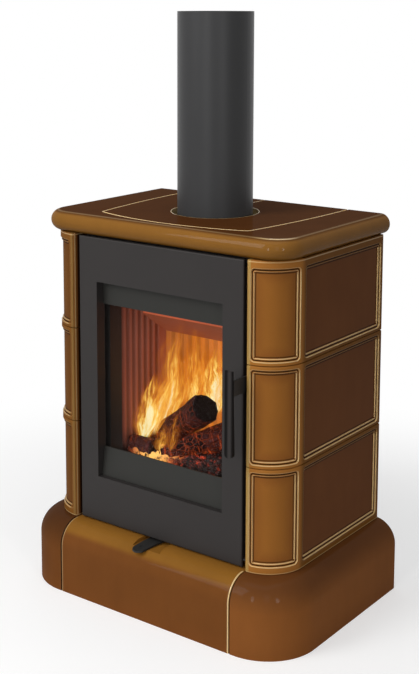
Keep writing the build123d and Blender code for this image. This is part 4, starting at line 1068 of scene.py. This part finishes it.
def seen_directly(tree):
    """1 for rays from the camera, from gloss and through glass, and 0 for light on the object."""
    path = tree.nodes.new("ShaderNodeLightPath")
    total = None
    for name in ("Is Camera Ray", "Is Glossy Ray", "Is Transmission Ray"):
        if total is None:
            total = path.outputs[name]
            continue
        both = tree.nodes.new("ShaderNodeMath")
        both.operation = "MAXIMUM"
        tree.links.new(total, both.inputs[0])
        tree.links.new(path.outputs[name], both.inputs[1])
        total = both.outputs[0]
    return total


# in metres from the middle: half the floor, where it turns light, and where the painted shadow
# under the stove ends along X and along Y
FLOOR_HALF = 30.0
FLOOR_LIGHT = (0.50, 1.30)
SHADOW_X = (0.14, 0.26)
SHADOW_Y = (0.14, 0.21)
# name, azimuth and elevation in degrees, distance, width and height in metres, and power in watts
LAMPS = (
    ("key_lamp", -24, 34, 3.0, (1.3, 1.8), 44.0),
    ("camera_lamp", 38, 24, 3.2, (0.5, 1.8), 5.0),
    ("top_lamp", 0, 86, 2.6, (2.0, 2.0), 14.0),
    ("rim_lamp", 205, 52, 2.6, (1.6, 0.5), 4.0),
    ("left_strip", 11, 14, 3.2, (0.30, 1.0), 17.0),
    ("right_strip", 58, 14, 3.2, (0.30, 1.0), 13.0),
)


class STOVE_OT_set_stage(bpy.types.Operator):
    """Set the pale floor, the soft lamps and the camera"""

    bl_idname = "stove.set_stage"
    bl_label = "Set the stage"

    def execute(self, context):
        scene = context.scene
        stage = scene.stove_stage
        scene.view_settings.view_transform = "Standard"
        world = bpy.data.worlds.new("studio")
        scene.world = world
        world.use_nodes = True
        tree = world.node_tree
        backdrop = tree.nodes["Background"]
        backdrop.inputs["Color"].default_value = (1.0, 1.0, 1.0, 1.0)
        level = tree.nodes.new("ShaderNodeMapRange")
        level.inputs["To Min"].default_value = stage.ambient
        level.inputs["To Max"].default_value = 1.0
        tree.links.new(seen_directly(tree), level.inputs["Value"])
        tree.links.new(level.outputs[0], backdrop.inputs["Strength"])

        bm = bmesh.new()
        bmesh.ops.create_grid(bm, x_segments=1, y_segments=1, size=FLOOR_HALF)
        mesh = bpy.data.meshes.new("floor")
        bm.to_mesh(mesh)
        bm.free()
        floor = bpy.data.objects.new("floor", mesh)
        scene.collection.objects.link(floor)
        finish = Finish("pale_floor")
        seen = Wire(finish, seen_directly(finish.tree))
        far = (finish.x ** 2 + finish.y ** 2).root().rise(*FLOOR_LIGHT)
        # painted shadow under the stove: a darker floor colour and less of the floor's own light
        painted_shadow = (1 - abs(finish.x).rise(*SHADOW_X)) * (1 - abs(finish.y).rise(*SHADOW_Y))
        mesh.materials.append(finish.surface({
            "Base Color": finish.mix(far.most(painted_shadow * 0.7), stage.floor, (0.0, 0.0, 0.0)),
            "Roughness": 1.0,
            "Specular IOR Level": 0.0,
            "Emission Color": finish.scaled(
                (1.0, 1.0, 1.0), seen * (0.50 + far * 0.50) * (1 - painted_shadow * 0.95)),
            "Emission Strength": 1.0,
        }))

        for lamp in LAMPS:
            softbox(*lamp)

        data = bpy.data.lights.new("fire_light", "POINT")
        data.color = FIRE_LIGHT
        data.energy = scene.stove_fire.light
        data.shadow_soft_size = 45 * MM
        fire = bpy.data.objects.new("fire_light", data)
        fire.location = (0.0, LOGS_HIGH.y - 30 * MM, LOGS_HIGH.z + 30 * MM)
        scene.collection.objects.link(fire)

        lens = bpy.data.cameras.new("camera")
        lens.lens = stage.lens
        lens.shift_x = stage.shift_x
        lens.shift_y = stage.shift_y
        lens.clip_end = 100.0
        camera = bpy.data.objects.new("camera", lens)
        camera.location = stage.camera_place
        camera.rotation_euler = (math.radians(90) - stage.camera_pitch, 0.0, stage.camera_turn)
        scene.collection.objects.link(camera)
        scene.camera = camera
        return {"FINISHED"}


# ------------------------------------------------------------------ panel and registration
OPERATORS = (
    STOVE_OT_glaze_tiles,
    STOVE_OT_paint_steel,
    STOVE_OT_fit_window,
    STOVE_OT_line_firebox,
    STOVE_OT_lay_logs,
    STOVE_OT_heap_embers,
    STOVE_OT_light_flames,
    STOVE_OT_set_stage,
)


class STOVE_PT_build(bpy.types.Panel):
    """Lists the steps that dress the stove"""

    bl_idname = "STOVE_PT_build"
    bl_label = "Tiled stove"
    bl_space_type = "VIEW_3D"
    bl_region_type = "UI"
    bl_category = "Stove"

    def draw(self, context):
        for operator in OPERATORS:
            self.layout.operator(operator.bl_idname)


CLASSES = (*PROPERTIES.values(), *OPERATORS, STOVE_PT_build)


def register():
    for cls in CLASSES:
        bpy.utils.register_class(cls)
    for name, cls in PROPERTIES.items():
        setattr(bpy.types.Scene, name, bpy.props.PointerProperty(type=cls))


def unregister():
    for name in PROPERTIES:
        delattr(bpy.types.Scene, name)
    for cls in reversed(CLASSES):
        bpy.utils.unregister_class(cls)


def main():
    register()
    for operator in OPERATORS:
        group, name = operator.bl_idname.split(".")
        getattr(getattr(bpy.ops, group), name)()


if __name__ == "__main__":
    main()
